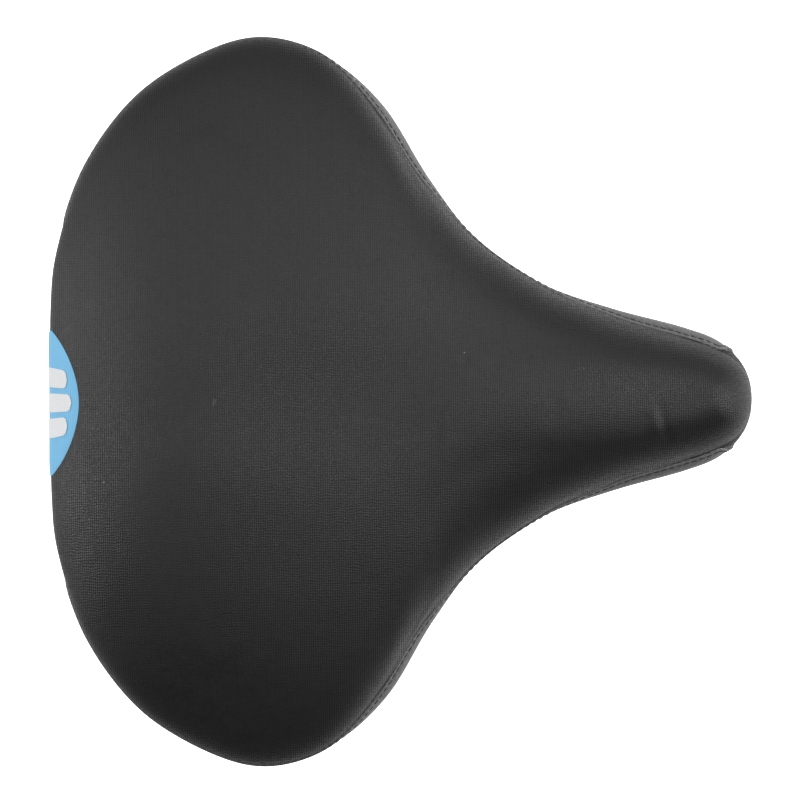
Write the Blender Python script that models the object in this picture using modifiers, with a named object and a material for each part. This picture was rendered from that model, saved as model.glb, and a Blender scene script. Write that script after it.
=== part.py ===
"""Sprung cruiser bicycle saddle with its seatpost clamp, built as the pieces that it comes apart into.

Metres. +X points to the nose, +Y to the rider's left and +Z up. The origin is on the seatpost's axis, level
with the cross stud of the clamp. Four groups move: the collar on the post, the clamp that tilts on it, the
undercarriage that slides in the clamp, and the seat that pitches about the rail's front stretch, on two
coil springs.
"""

import math

import bmesh
import bpy
from mathutils import Vector

# Fits
GAP = 0.0003  # between pieces that touch
GROOVE_GAP = 0.0004  # round the rail, where it slides or turns
HOLE_GAP = 0.0004  # round a bolt

# Plan of the seat, from rear centre to nose centre: shares of the length and of the half width
LENGTH, WIDTH = 0.267, 0.2775
REAR_X = -0.147
OUTLINE = [
    (0.000, 0.000), (0.000, 0.250), (0.010, 0.420), (0.050, 0.645), (0.125, 0.842), (0.225, 0.965),
    (0.310, 1.000), (0.400, 0.943), (0.475, 0.815), (0.540, 0.612), (0.610, 0.438), (0.700, 0.322),
    (0.800, 0.253), (0.900, 0.201), (0.955, 0.158), (0.990, 0.085), (1.000, 0.000),
]

# Heights and wall shape, each by share of the length from the rear
SHOULDER_Z = [(0.0, 0.082), (0.2, 0.070), (0.35, 0.065), (0.6, 0.064), (0.85, 0.065), (1.0, 0.065)]
RIM_Z = [(0.0, 0.048), (0.2, 0.045), (0.35, 0.042), (0.5, 0.042), (0.65, 0.045), (0.85, 0.044), (1.0, 0.042)]
CROWN_Z = [(0.24, 0.106), (0.4, 0.101), (0.55, 0.0945), (0.75, 0.090), (0.93, 0.0845)]
WALL_BULGE = [(0.0, 0.0), (0.36, 0.0005), (0.495, 0.0055), (0.60, 0.0015), (0.65, 0.0010), (0.72, 0.0025),
              (0.85, 0.0055), (0.95, 0.005), (1.0, 0.002)]
SPINE = (0.24, 0.93)  # the centre line that the top rises to
SPINE_MARGIN = 0.02  # of the length at each end, where the edge shares the end of the spine
DOME_POWER, DOME_ROUND = 2.2, 0.62
DIP_DEPTH, DIP_HALF_WIDTH = 0.0035, 0.022
DIP_FROM, DIP_TO, DIP_REAR_FADE, DIP_FRONT_FADE = 0.15, 0.6, 0.15, 0.2  # shares of the length
WALL_TUCK = 0.006
RIM_RADIUS = 0.004
HEM_WIDTH = 0.012
HEM_MOST_SHARE = 0.17  # of the way in from the edge, where the seat is narrow

# Cover, foam and base
COVER_THICKNESS = 0.0015
SEAM_DEPTH = 0.04  # share of the wall that the seam lies below the shoulder
SEAM_GAP, SEAM_SIDE_GAP = 0.035, 0.1  # down the wall, and along the outline's points
SEAM_REAR = (1.3, 2.5)  # outline points between which the seam climbs from the hem to the shoulder
SEAM_NOSE = (15.3, 14.0)
PANEL_SPAN = (1.6, 14.95)  # outline points between which there is a side panel
BASE_THICKNESS = 0.003
BASE_CLEAR, FOAM_CLEAR = 0.0010, 0.0013  # inside the cover
RAMP_CLEAR = 0.0016  # more room for the foam on the base's ramp
BASE_SPINE = (0.2, 0.95)
BASE_EDGE_INSET = 0.005
BASE_RAMP, RAMP_MOST_SHARE = 0.0115, 0.26
PLATE_REAR_Z, PLATE_NOSE_Z, PLATE_FALL_FROM, PLATE_FALL_TO = 0.0585, 0.0515, 0.45, 0.68
BADGE_HALF_WIDTH, BADGE_HALF_HEIGHT, BADGE_THICKNESS, BADGE_LIFT = 0.027, 0.018, 0.0004, 0.0008
BADGE_TOP_ROW, BADGE_ROW_STEP, BADGE_ROW_COUNT, BADGE_CENTRE_ROW = 0.6, 0.02, 50, 20
BADGE_RINGS, BADGE_SPOKES, BADGE_FIRST_RING = 3, 16, 0.01

# How finely the soft forms are cut
REAR_COLUMNS = (0.0, 0.5, 1.0, 1.25, 1.5, 1.7, 1.9, 2.1, 2.3, 2.5)  # closer where the seam climbs
NOSE_COLUMNS = (14.0, 14.25, 14.5, 14.7, 14.9, 15.1, 15.3, 15.6, 16.0)
BASE_ROWS, RAMP_ROWS = 6, 2  # rows in from the base's edge, and how many of them follow its ramp
FOAM_WALL_ROWS = (1.35, 1.7)  # down the wall, 1 at the shoulder and 2 at the rim
TOP_ROWS = 6
BELOW_SHOULDER = (0.25, 0.5, 0.65, 0.8, 1.0)
PANEL_ROWS = (0.0, 0.15, 0.33, 0.49, 0.62, 0.75, 1.0)

# Rail: one bent wire, held in the clamp along its straight stretch
RAIL_RADIUS = 0.0035
RAIL_HALF_SPACING = 0.022
RAIL_Z = 0.0115
RAIL_BENDS = [  # corners of the right half, each with its bend radius
    (Vector((-0.098, -0.032, RAIL_Z)), 0.0),
    (Vector((-0.075, -RAIL_HALF_SPACING, RAIL_Z)), 0.025),
    (Vector((0.022, -RAIL_HALF_SPACING, RAIL_Z)), 0.040),
    (Vector((0.088, -0.020, 0.036)), 0.009),
]
NOSE_PIVOT = Vector((0.088, 0.0, 0.036))

# Springs and the two bridges that hold them
SPRING_X, SPRING_Y = -0.088, 0.062
SPRING_RADIUS, SPRING_WIRE_RADIUS, SPRING_TURNS, SPRING_END_TURNS = 0.01775, 0.00225, 5.0, 0.9
BRIDGE_THICKNESS, BRIDGE_HALF_WIDTH, LUG_RADIUS = 0.003, 0.011, 0.023
LOWER_BRIDGE_Z = RAIL_Z - RAIL_RADIUS - GAP - BRIDGE_THICKNESS
UPPER_BRIDGE_Z = PLATE_REAR_Z - GAP - BRIDGE_THICKNESS
CUP_RADIUS, CUP_THICKNESS, CUP_HEIGHT = 0.0225, 0.0015, 0.0055
SPRING_BOLT_RADIUS = 0.003

# Bolts and nuts: head radius, head height and shank length; across flats and thickness
SPRING_HEAD_RADIUS, SPRING_HEAD_HEIGHT, LOWER_SHANK, UPPER_SHANK = 0.0075, 0.0035, 0.0145, 0.0160
SPRING_NUT_FLATS, SPRING_NUT_THICKNESS = 0.010, 0.005
TEE_BARREL_RADIUS, TEE_FLANGE_RADIUS, TEE_FLANGE_THICKNESS, TEE_HEIGHT = 0.0045, 0.010, 0.0015, 0.006
BOLT_CHAMFER = 0.0005

# Nose bracket
NOSE_BOLTS = (0.056, 0.074)
NOSE_BOLT_RADIUS, NOSE_HEAD_RADIUS, NOSE_HEAD_HEIGHT, NOSE_SHANK = 0.0025, 0.0045, 0.0028, 0.0115
NOSE_PLATE_THICKNESS, NOSE_HALF_WIDTH, NOSE_FLANGE_END_X = 0.0025, 0.0075, 0.045
NOSE_TUBE_WALL = 0.0025
NUT_PLATE_MARGIN, NUT_PLATE_HALF_WIDTH, NUT_PLATE_THICKNESS, NUT_PLATE_CORNER = 0.007, 0.0085, 0.003, 0.002

# Pockets in the foam for the nuts on the base
NUT_POCKET_RADIUS, NUT_POCKET_DEPTH, PLATE_POCKET_CLEAR = 0.0125, 0.018, 0.001

# Seatpost clamp
POST_RADIUS = 0.0111
POST_CLEAR = 0.00015
COLLAR_THICKNESS, COLLAR_HALF_HEIGHT = 0.003, 0.015
STUD_X, STUD_RADIUS, STUD_HALF_LENGTH = -0.027, 0.004, 0.042
EAR_INNER_Y, EAR_RADIUS = 0.004, 0.013
SERRATION_RADIUS, SERRATION_THICKNESS = 0.013, 0.003
CHEEK_HALF_LENGTH, CHEEK_LOW, CHEEK_HIGH, CHEEK_CORNER = 0.017, -0.013, 0.017, 0.006
CHEEK_BOSS_RADIUS, CHEEK_BOSS_LENGTH = 0.012, 0.0044
CHEEK_HALF_SPLIT = 0.0006  # from the rail's axis to each cheek's face
OUTER_CHEEK_THICKNESS = 0.0072
CHEEK_BOSS_OVERLAP, CHEEK_CUT_LENGTH = 0.002, 0.05
WASHER_RADIUS, WASHER_THICKNESS = 0.0085, 0.0016
NUT_ACROSS_FLATS, NUT_THICKNESS = 0.013, 0.0065

STUD_CHAMFER = 0.0008

SLOPE_STEP, FLAT_MIDDLE = 0.0005, 0.05  # for slopes of the seat's skin, and where it counts as level
ROUND_STEPS, SMALL_STEPS, HOLE_STEPS, ARC_STEPS, BAND_STEPS = 24, 16, 12, 16, 32
WELD = 0.00001  # distance at which points are joined

# Finishes: name, colour, roughness and metallic value
JERSEY = ("black_jersey", (0.030, 0.030, 0.032), 0.9)
VINYL = ("black_vinyl", (0.035, 0.035, 0.037), 0.45)
PRINT = ("blue_print", (0.26, 0.62, 0.90), 0.6)
FOAM = ("grey_foam", (0.35, 0.35, 0.36), 0.95)
PLASTIC = ("black_polypropylene", (0.02, 0.02, 0.021), 0.55)
BLACK_STEEL = ("black_painted_steel", (0.015, 0.015, 0.016), 0.35, 0.2)
ZINC = ("zinc_plated_steel", (0.60, 0.61, 0.63), 0.35, 1.0)


# ---------------------------------------------------------------- scene and objects


def clear_scene():
    for old in list(bpy.data.objects):
        bpy.data.objects.remove(old, do_unlink=True)
    for name in ("bicycle_saddle", "cutters"):
        group = bpy.data.collections.new(name)
        bpy.context.scene.collection.children.link(group)
    bpy.data.collections["cutters"].hide_render = True


def material(name, colour, roughness, metallic=0.0):
    found = bpy.data.materials.get(name)
    if found:
        return found
    made = bpy.data.materials.new(name)
    made.use_nodes = True
    shader = made.node_tree.nodes["Principled BSDF"]
    shader.inputs["Base Color"].default_value = (*colour, 1.0)
    shader.inputs["Roughness"].default_value = roughness
    shader.inputs["Metallic"].default_value = metallic
    return made


def in_collection(obj, finish=None, group="bicycle_saddle"):
    """Puts a new object in its collection and gives it its finish."""
    for old in obj.users_collection:
        old.objects.unlink(obj)
    bpy.data.collections[group].objects.link(obj)
    if finish:
        obj.data.materials.append(material(*finish))
    return obj


def mesh_object(name, mesh, finish=None, group="bicycle_saddle"):
    return in_collection(bpy.data.objects.new(name, mesh), finish, group)


def cutter(obj):
    """Keeps a shape that only cuts others out of the model."""
    obj.hide_render = True
    obj.display_type = "WIRE"
    return in_collection(obj, group="cutters")


def boolean(obj, other, operation="DIFFERENCE"):
    step = obj.modifiers.new(operation.lower(), "BOOLEAN")
    step.object = other
    step.operation = operation
    step.solver = "EXACT"


def turned(name, profile, place, axis="Z", finish=None, steps=ROUND_STEPS):
    """A solid turned about its own Z from a profile of (radius, height) that runs down its outer side.
    A profile whose first and last points are off the axis is closed into a ring."""
    points = [Vector((radius, 0, height)) for radius, height in profile]
    edges = [(i, i + 1) for i in range(len(points) - 1)]
    if profile[0][0] > 0:
        edges.append((len(points) - 1, 0))
    mesh = bpy.data.meshes.new(name)
    mesh.from_pydata(points, edges, [])
    obj = mesh_object(name, mesh, finish)
    screw = obj.modifiers.new("turn", "SCREW")
    screw.steps = screw.render_steps = steps
    screw.use_merge_vertices = True
    screw.merge_threshold = WELD
    obj.location = place
    if axis == "Y":
        obj.rotation_euler = (-math.pi / 2, 0, 0)
    elif axis == "-Y":
        obj.rotation_euler = (math.pi / 2, 0, 0)
    elif axis == "X":
        obj.rotation_euler = (0, math.pi / 2, 0)
    return obj


def rod(name, radius, length, place, axis="Z", finish=None):
    """A plain cylinder centred on place."""
    half = length / 2
    return turned(name, [(0, half), (radius, half), (radius, -half), (0, -half)], place, axis, finish)


def ring(name, inner, outer, low, high, place, axis="Z", finish=None):
    """A flat ring from low to high along its axis."""
    return turned(name, [(outer, high), (outer, low), (inner, low), (inner, high)], place, axis, finish)


def as_mesh(obj):
    """The curve's evaluated shape as a mesh object of the same name, with its caps welded on."""
    bpy.context.view_layer.update()
    evaluated = obj.evaluated_get(bpy.context.evaluated_depsgraph_get())
    mesh = bpy.data.meshes.new_from_object(evaluated)
    form = bmesh.new()
    form.from_mesh(mesh)
    bmesh.ops.remove_doubles(form, verts=form.verts, dist=WELD / 2)
    form.to_mesh(mesh)
    form.free()
    name, matrix, group = obj.name, obj.matrix_world.copy(), obj.users_collection[0].name
    bpy.data.objects.remove(obj)
    made = mesh_object(name, mesh, group=group)
    made.matrix_world = matrix
    return made


def plate(name, loops, thickness, place=(0, 0, 0), upright=False, finish=None):
    """A flat outline with its holes, extruded to both sides of place. Upright stands it in the XZ plane."""
    curve = bpy.data.curves.new(name, "CURVE")
    curve.dimensions = "2D"
    curve.fill_mode = "BOTH"
    curve.extrude = thickness / 2
    for loop in loops:
        spline = curve.splines.new("POLY")
        spline.points.add(len(loop) - 1)
        for point, (x, y) in zip(spline.points, loop):
            point.co = (x, y, 0, 1)
        spline.use_cyclic_u = True
    obj = in_collection(bpy.data.objects.new(name, curve), finish)
    obj.location = place
    if upright:
        obj.rotation_euler = (math.pi / 2, 0, 0)
    return as_mesh(obj)


def tube(name, points, radius, sides_step, finish):
    """A wire of round section along points. sides_step is the curve's bevel resolution."""
    curve = bpy.data.curves.new(name, "CURVE")
    curve.dimensions = "3D"
    curve.bevel_depth = radius
    curve.bevel_resolution = sides_step
    curve.use_fill_caps = True
    spline = curve.splines.new("POLY")
    spline.points.add(len(points) - 1)
    for target, point in zip(spline.points, points):
        target.co = (*point, 1)
    return in_collection(bpy.data.objects.new(name, curve), finish)


def loft(name, rows, finish=None):
    """A sheet of quads through rows of points. Rows run outwards, their points rear to nose."""
    width = len(rows[0])
    corners = [point for row in rows for point in row]
    faces = [
        (i * width + j, i * width + j + 1, (i + 1) * width + j + 1, (i + 1) * width + j)
        for i in range(len(rows) - 1)
        for j in range(width - 1)
    ]
    mesh = bpy.data.meshes.new(name)
    mesh.from_pydata(corners, [], faces)
    form = bmesh.new()
    form.from_mesh(mesh)
    bmesh.ops.remove_doubles(form, verts=form.verts, dist=2 * WELD)
    form.to_mesh(mesh)
    form.free()
    mesh.shade_smooth()
    return mesh_object(name, mesh, finish)


def mirrored(obj):
    """Adds the rider's right half, merged on the centre plane."""
    mirror = obj.modifiers.new("mirror", "MIRROR")
    mirror.use_axis = (False, True, False)
    mirror.use_clip = True
    mirror.merge_threshold = 10 * WELD
    return obj


def thickened(obj, thickness):
    """Gives a sheet its thickness, inwards from its face."""
    solid = obj.modifiers.new("thickness", "SOLIDIFY")
    solid.thickness = thickness
    solid.offset = -1
    solid.use_even_offset = False
    solid.use_quality_normals = True
    return obj


# ---------------------------------------------------------------- flat outlines


def arc(centre, radius, start, end, steps):
    """Points round part of a circle, angles in degrees, both ends included."""
    angles = [math.radians(start + (end - start) * i / steps) for i in range(steps + 1)]
    return [(centre[0] + radius * math.cos(a), centre[1] + radius * math.sin(a)) for a in angles]


def circle(centre, radius, steps=ROUND_STEPS):
    return arc(centre, radius, 0, 360 - 360 / steps, steps - 1)


def rounded_box(low, high, corner, steps=4):
    """A rectangle from its low to its high corner, with round corners."""
    x0, y0, x1, y1 = low[0] + corner, low[1] + corner, high[0] - corner, high[1] - corner
    centres = [(x1, y1), (x0, y1), (x0, y0), (x1, y0)]
    return [p for i, c in enumerate(centres) for p in arc(c, corner, 90 * i, 90 * i + 90, steps)]


def hexagon(across_flats):
    return arc((0, 0), across_flats / math.sqrt(3), 0, 300, 5)


def filleted(corners, steps=6):
    """The line through corners of (point, bend radius), with each bend as an arc."""
    line = [corners[0][0]]
    for (before, _), (corner, radius), (after, _) in zip(corners, corners[1:], corners[2:]):
        back, on = (before - corner).normalized(), (after - corner).normalized()
        half_angle = back.angle(on) / 2
        centre = corner + (back + on).normalized() * radius / math.sin(half_angle)
        start = corner + back * radius / math.tan(half_angle) - centre
        end = corner + on * radius / math.tan(half_angle) - centre
        sweep = start.angle(end)
        line += [
            centre + (start * math.sin(sweep * (1 - s)) + end * math.sin(sweep * s)) / math.sin(sweep)
            for s in (i / steps for i in range(steps + 1))
        ]
    return line + [corners[-1][0]]


# ---------------------------------------------------------------- form of the seat


def table_value(table, at):
    """Smooth value between the rows of a table of (position, value)."""
    if at <= table[0][0]:
        return table[0][1]
    if at >= table[-1][0]:
        return table[-1][1]
    slopes = [
        (table[min(i + 1, len(table) - 1)][1] - table[max(i - 1, 0)][1])
        / (table[min(i + 1, len(table) - 1)][0] - table[max(i - 1, 0)][0])
        for i in range(len(table))
    ]
    slopes[0] = slopes[-1] = 0.0
    i = max(k for k in range(len(table) - 1) if table[k][0] <= at)
    (x0, y0), (x1, y1) = table[i], table[i + 1]
    span, s = x1 - x0, (at - x0) / (x1 - x0)
    rise = s * s * (3 - 2 * s)
    bend = slopes[i] * s * (1 - s) ** 2 - slopes[i + 1] * s * s * (1 - s)
    return y0 + (y1 - y0) * rise + span * bend


def smoothstep(share):
    share = min(max(share, 0.0), 1.0)
    return share * share * (3 - 2 * share)


def control_point(i):
    """An outline point in metres. Those past either end are mirrored in the centre plane."""
    last = len(OUTLINE) - 1
    side = 1
    if i < 0:
        i, side = -i, -1
    elif i > last:
        i, side = 2 * last - i, -1
    along, across = OUTLINE[i]
    return Vector((REAR_X + LENGTH * along, side * across * WIDTH / 2))


def outline_point(t):
    """The plan outline, a smooth curve through its points: t is 0 at the rear centre and 1 at the nose."""
    place = t * (len(OUTLINE) - 1)
    i = math.floor(place)
    s = place - i
    a, b, c, d = (control_point(k) for k in range(i - 1, i + 3))
    return 0.5 * (2 * b + (c - a) * s + (2 * a - 5 * b + 4 * c - d) * s**2 + (3 * b - a - 3 * c + d) * s**3)


def station(t):
    """The edge at t: its plan point, its outward direction, and its share of the length."""
    step = SLOPE_STEP
    along = (outline_point(t + step) - outline_point(t - step)).normalized()
    place = outline_point(t)
    return place, Vector((-along.y, along.x)), (place.x - REAR_X) / LENGTH


def spine_at(share, spine=SPINE):
    """The spine's point for an edge point, both as shares of the length. The ends share its end points."""
    place = (share - SPINE_MARGIN) / (1 - 2 * SPINE_MARGIN)
    return spine[0] + (spine[1] - spine[0]) * min(max(place, 0.0), 1.0)


def dip(x, y):
    """How far the top sinks along the middle, between the two sides that carry the rider."""
    along = (x - REAR_X) / LENGTH
    fade = smoothstep((along - DIP_FROM) / DIP_REAR_FADE) * smoothstep((DIP_TO - along) / DIP_FRONT_FADE)
    return DIP_DEPTH * fade * math.exp(-((y / DIP_HALF_WIDTH) ** 2))


def skin(t, q):
    """Outside of the cover: q is 0 on the centre line, 1 at the shoulder, 2 at the wall's foot, 2.5 under the
    rim and 3 at the hem's edge."""
    place, outward, share = station(t)
    bulge = table_value(WALL_BULGE, share)
    shoulder = place - outward * 4 * bulge**2 / (4 * bulge + WALL_TUCK)
    shoulder_z = table_value(SHOULDER_Z, share)
    rim_z = table_value(RIM_Z, share)
    if q <= 1:
        spine_share = spine_at(share)
        flat = Vector((REAR_X + LENGTH * spine_share, 0)).lerp(shoulder, q)
        dome = (1 - min(q, 1.0) ** DOME_POWER) ** DOME_ROUND
        z = shoulder_z + (table_value(CROWN_Z, spine_share) - shoulder_z) * dome - dip(*flat) * dome
        return Vector((*flat, z))
    foot_z = rim_z + RIM_RADIUS
    if q <= 2:
        v = q - 1
        flat = shoulder + outward * (4 * bulge * v * (1 - v) - WALL_TUCK * v * v)
        return Vector((*flat, shoulder_z + (foot_z - shoulder_z) * v))
    foot = shoulder - outward * WALL_TUCK
    turn = math.radians(90) * min((q - 2) / 0.5, 1.0)
    inward = RIM_RADIUS * (1 - math.cos(turn))
    if q > 2.5:
        inward += hem_width(t) * (q - 2.5) / 0.5
    return Vector((*(foot - outward * inward), foot_z - RIM_RADIUS * math.sin(turn)))


def edge_and_spine(t):
    """The base's edge and the point of the spine that it is measured from, in plan."""
    place, outward, share = station(t)
    bulge = table_value(WALL_BULGE, share)
    inset = 4 * bulge**2 / (4 * bulge + WALL_TUCK) + WALL_TUCK + BASE_EDGE_INSET
    return place - outward * inset, Vector((REAR_X + LENGTH * spine_at(share, BASE_SPINE), 0))


def hem_width(t):
    edge, spine = edge_and_spine(t)
    return min(HEM_WIDTH, HEM_MOST_SHARE * (edge - spine).length)


def normal(t, q):
    """Outward direction of the skin, straight up on the centre line."""
    if q < FLAT_MIDDLE:
        return Vector((0, 0, 1))
    step = SLOPE_STEP
    along = skin(t + step, q) - skin(t - step, q)
    down = skin(t, min(q + step, 3)) - skin(t, q - step)
    return along.cross(down).normalized()


def seam_place(t):
    """Where the seam below the top runs: along the shoulder, and down to the hem at its ends."""
    at = t * (len(OUTLINE) - 1)
    rear = smoothstep((SEAM_REAR[1] - at) / (SEAM_REAR[1] - SEAM_REAR[0]))
    nose = smoothstep((at - SEAM_NOSE[1]) / (SEAM_NOSE[0] - SEAM_NOSE[1]))
    return 1 + SEAM_DEPTH + (2 - SEAM_DEPTH) * max(rear, nose)


def panel_edge(t):
    """The side panel's upper edge, clear of the cover's."""
    aside = SEAM_SIDE_GAP / (len(OUTLINE) - 1)
    seam = max(seam_place(t - aside), seam_place(t + aside))
    return min(seam + SEAM_GAP * (2 * seam - 1), 2.97)


def columns():
    """The values of t that the soft forms are cut at."""
    middle = [k / 2 for k in range(6, 28)]
    return [at / (len(OUTLINE) - 1) for at in (*REAR_COLUMNS, *middle, *NOSE_COLUMNS)]


def top_rows():
    """Rows from the centre line to the shoulder, closer together as the top curves over."""
    return [math.sin(math.radians(90) * i / TOP_ROWS) for i in range(TOP_ROWS + 1)]


def base_row(t, distance, lift):
    """A point of the base's underside, distance in from its edge (at most to the spine), raised by lift."""
    edge, spine = edge_and_spine(t)
    reach = (edge - spine).length
    flat = edge.lerp(spine, min(distance / reach, 1.0))
    low = table_value(RIM_Z, (outline_point(t).x - REAR_X) / LENGTH) + COVER_THICKNESS + BASE_CLEAR
    fall = smoothstep(((flat.x - REAR_X) / LENGTH - PLATE_FALL_FROM) / (PLATE_FALL_TO - PLATE_FALL_FROM))
    high = PLATE_REAR_Z + (PLATE_NOSE_Z - PLATE_REAR_Z) * fall
    rise = smoothstep((distance - hem_width(t)) / min(BASE_RAMP, RAMP_MOST_SHARE * reach))
    return Vector((*flat, low + (high - low) * rise + lift))


def base_distances(t):
    edge, spine = edge_and_spine(t)
    reach = (edge - spine).length
    hem, ramp = hem_width(t), min(BASE_RAMP, RAMP_MOST_SHARE * reach)
    inner = reach - hem - ramp
    return (0.0, hem, hem + ramp / 2, hem + ramp, hem + ramp + inner / 2, reach)


# ---------------------------------------------------------------- seat: cover, foam, base


def make_top_cover():
    rows = [[skin(t, q) for t in columns()] for q in top_rows()]
    rows += [[skin(t, 1 + (seam_place(t) - 1) * share) for t in columns()] for share in BELOW_SHOULDER]
    return thickened(mirrored(loft("top_cover", rows, JERSEY)), COVER_THICKNESS)


def make_side_panel(name, side):
    """A side panel, from the seam down and under the base. Side is 1 for the left and -1 for the right."""
    chosen = [t for t in columns() if PANEL_SPAN[0] < t * (len(OUTLINE) - 1) < PANEL_SPAN[1]]
    flip = Vector((1, side, 1))
    rows = []
    for share in PANEL_ROWS:
        places = [(t, panel_edge(t)) for t in chosen]
        rows.append([skin(t, q + (3 - q) * share) * flip for t, q in places])
    if side < 0:
        rows = [row[::-1] for row in rows]
    return thickened(loft(name, rows, VINYL), COVER_THICKNESS)


def nut_plate_outline(more, corner):
    """Plan of the plate under the nose's nuts, grown by more all round."""
    low = (NOSE_BOLTS[0] - NUT_PLATE_MARGIN - more, -NUT_PLATE_HALF_WIDTH - more)
    high = (NOSE_BOLTS[1] + NUT_PLATE_MARGIN + more, NUT_PLATE_HALF_WIDTH + more)
    return rounded_box(low, high, corner)


def make_foam_pad():
    """Fills the cover down to the base, with pockets for the nuts on the base's top."""
    clear = COVER_THICKNESS + FOAM_CLEAR
    rows = [[skin(t, q) - normal(t, q) * clear for t in columns()] for q in (*top_rows(), *FOAM_WALL_ROWS)]
    lift = BASE_THICKNESS + 2 * GAP
    foot = []
    for t in columns():
        edge = base_row(t, 0, lift)
        share = 2 - (edge.z - skin(t, 2).z) / (skin(t, 1).z - skin(t, 2).z)
        outward = normal(t, share)
        level = Vector((outward.x, outward.y, 0))
        wall = skin(t, share) - level * (clear / level.length_squared)
        foot.append(Vector((wall.x, wall.y, edge.z)))
    rows.append(foot)
    for k in range(1, BASE_ROWS):
        more = RAMP_CLEAR if k <= RAMP_ROWS else 0
        rows.append([base_row(t, base_distances(t)[k], lift + more) for t in columns()])
    for row in rows:
        for end in (row[0], row[-1]):
            end.y = 0
    for row in (rows[0], rows[-1]):
        for point in row:
            point.y = 0
    pad = mirrored(loft("foam_pad", rows, FOAM))
    for side in (1, -1):
        place = (SPRING_X, side * SPRING_Y, PLATE_REAR_Z + BASE_THICKNESS)
        pocket = rod("spring_nut_pocket", NUT_POCKET_RADIUS, NUT_POCKET_DEPTH, place)
        boolean(pad, cutter(pocket))
    outline = nut_plate_outline(PLATE_POCKET_CLEAR, NUT_PLATE_CORNER + PLATE_POCKET_CLEAR)
    pocket = plate("nose_nut_pocket", [outline], NUT_POCKET_DEPTH, (0, 0, PLATE_NOSE_Z + BASE_THICKNESS))
    boolean(pad, cutter(pocket))
    return pad


def make_base():
    """The moulded base: a flat plate in a raised ring that meets the wall. Its upper side comes first."""
    order = [(k, BASE_THICKNESS) for k in reversed(range(BASE_ROWS))] + [(k, 0) for k in range(BASE_ROWS)]
    rows = [[base_row(t, base_distances(t)[k], lift) for t in columns()] for k, lift in order]
    base = mirrored(loft("base_shell", rows, PLASTIC))
    for x, y, radius in [
        (SPRING_X, SPRING_Y, SPRING_BOLT_RADIUS + HOLE_GAP),
        (SPRING_X, -SPRING_Y, SPRING_BOLT_RADIUS + HOLE_GAP),
        (NOSE_BOLTS[0], 0, NOSE_BOLT_RADIUS + HOLE_GAP),
        (NOSE_BOLTS[1], 0, NOSE_BOLT_RADIUS + HOLE_GAP),
    ]:
        boolean(base, cutter(rod("base_hole", radius, 10 * BASE_THICKNESS, (x, y, PLATE_NOSE_Z))))
    return base


def make_badge():
    """A thin oval transfer that wraps over the rear shoulder."""
    profile = [skin(0, BADGE_TOP_ROW + BADGE_ROW_STEP * i) for i in range(BADGE_ROW_COUNT)]
    lengths = [0.0]
    for a, b in zip(profile, profile[1:]):
        lengths.append(lengths[-1] + (b - a).length)
    shoulder = lengths[BADGE_CENTRE_ROW]

    def place(across, down):
        """A point on the skin, across from the centre and down past the shoulder."""
        at = shoulder + down
        i = max(k for k in range(len(lengths) - 1) if lengths[k] <= at)
        part = (at - lengths[i]) / (lengths[i + 1] - lengths[i])
        q = BADGE_TOP_ROW + BADGE_ROW_STEP * (i + part)
        t = across / (control_point(1).y * (len(OUTLINE) - 1))
        return skin(t, q) + normal(t, q) * (BADGE_LIFT + BADGE_THICKNESS)

    rows = []
    angles = [2 * math.pi * k / BADGE_SPOKES for k in range(BADGE_SPOKES + 1)]
    for i in range(BADGE_RINGS + 1):
        share = max(i / BADGE_RINGS, BADGE_FIRST_RING)
        rows.append(
            [
                place(BADGE_HALF_WIDTH * share * math.sin(a), BADGE_HALF_HEIGHT * share * math.cos(a))
                for a in angles
            ]
        )
    centre = place(0, 0)
    rows[0] = [centre.copy() for _ in rows[0]]
    return thickened(loft("rear_badge", rows, PRINT), BADGE_THICKNESS)


# ---------------------------------------------------------------- seat: metalwork


def bridge(name, z):
    """A stamped steel bridge: a strap across the saddle with a round lug under or over each spring."""
    steps = 16
    flank = math.degrees(math.asin(BRIDGE_HALF_WIDTH / LUG_RADIUS))
    loop = arc((SPRING_X, SPRING_Y), LUG_RADIUS, flank - 90, 270 - flank, steps)
    loop += arc((SPRING_X, -SPRING_Y), LUG_RADIUS, flank + 90, 450 - flank, steps)
    hole = SPRING_BOLT_RADIUS + HOLE_GAP
    holes = [circle((SPRING_X, side * SPRING_Y), hole, HOLE_STEPS) for side in (1, -1)]
    made = plate(name, [loop, *holes], BRIDGE_THICKNESS, (0, 0, z + BRIDGE_THICKNESS / 2))
    made.data.materials.append(material(*BLACK_STEEL))
    return made


def spring_cup(name, side, z, up):
    """A pressed cup for a spring's end. Its floor is at z, and its wall points up (1) or down (-1)."""
    hole = SPRING_BOLT_RADIUS + HOLE_GAP
    profile = [
        (CUP_RADIUS, CUP_HEIGHT),
        (CUP_RADIUS, 0),
        (hole, 0),
        (hole, CUP_THICKNESS),
        (CUP_RADIUS - CUP_THICKNESS, CUP_THICKNESS),
        (CUP_RADIUS - CUP_THICKNESS, CUP_HEIGHT),
    ]
    if up < 0:
        profile = [(radius, -height) for radius, height in profile][::-1]
    return turned(name, profile, (SPRING_X, side * SPRING_Y, z), finish=BLACK_STEEL)


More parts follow.
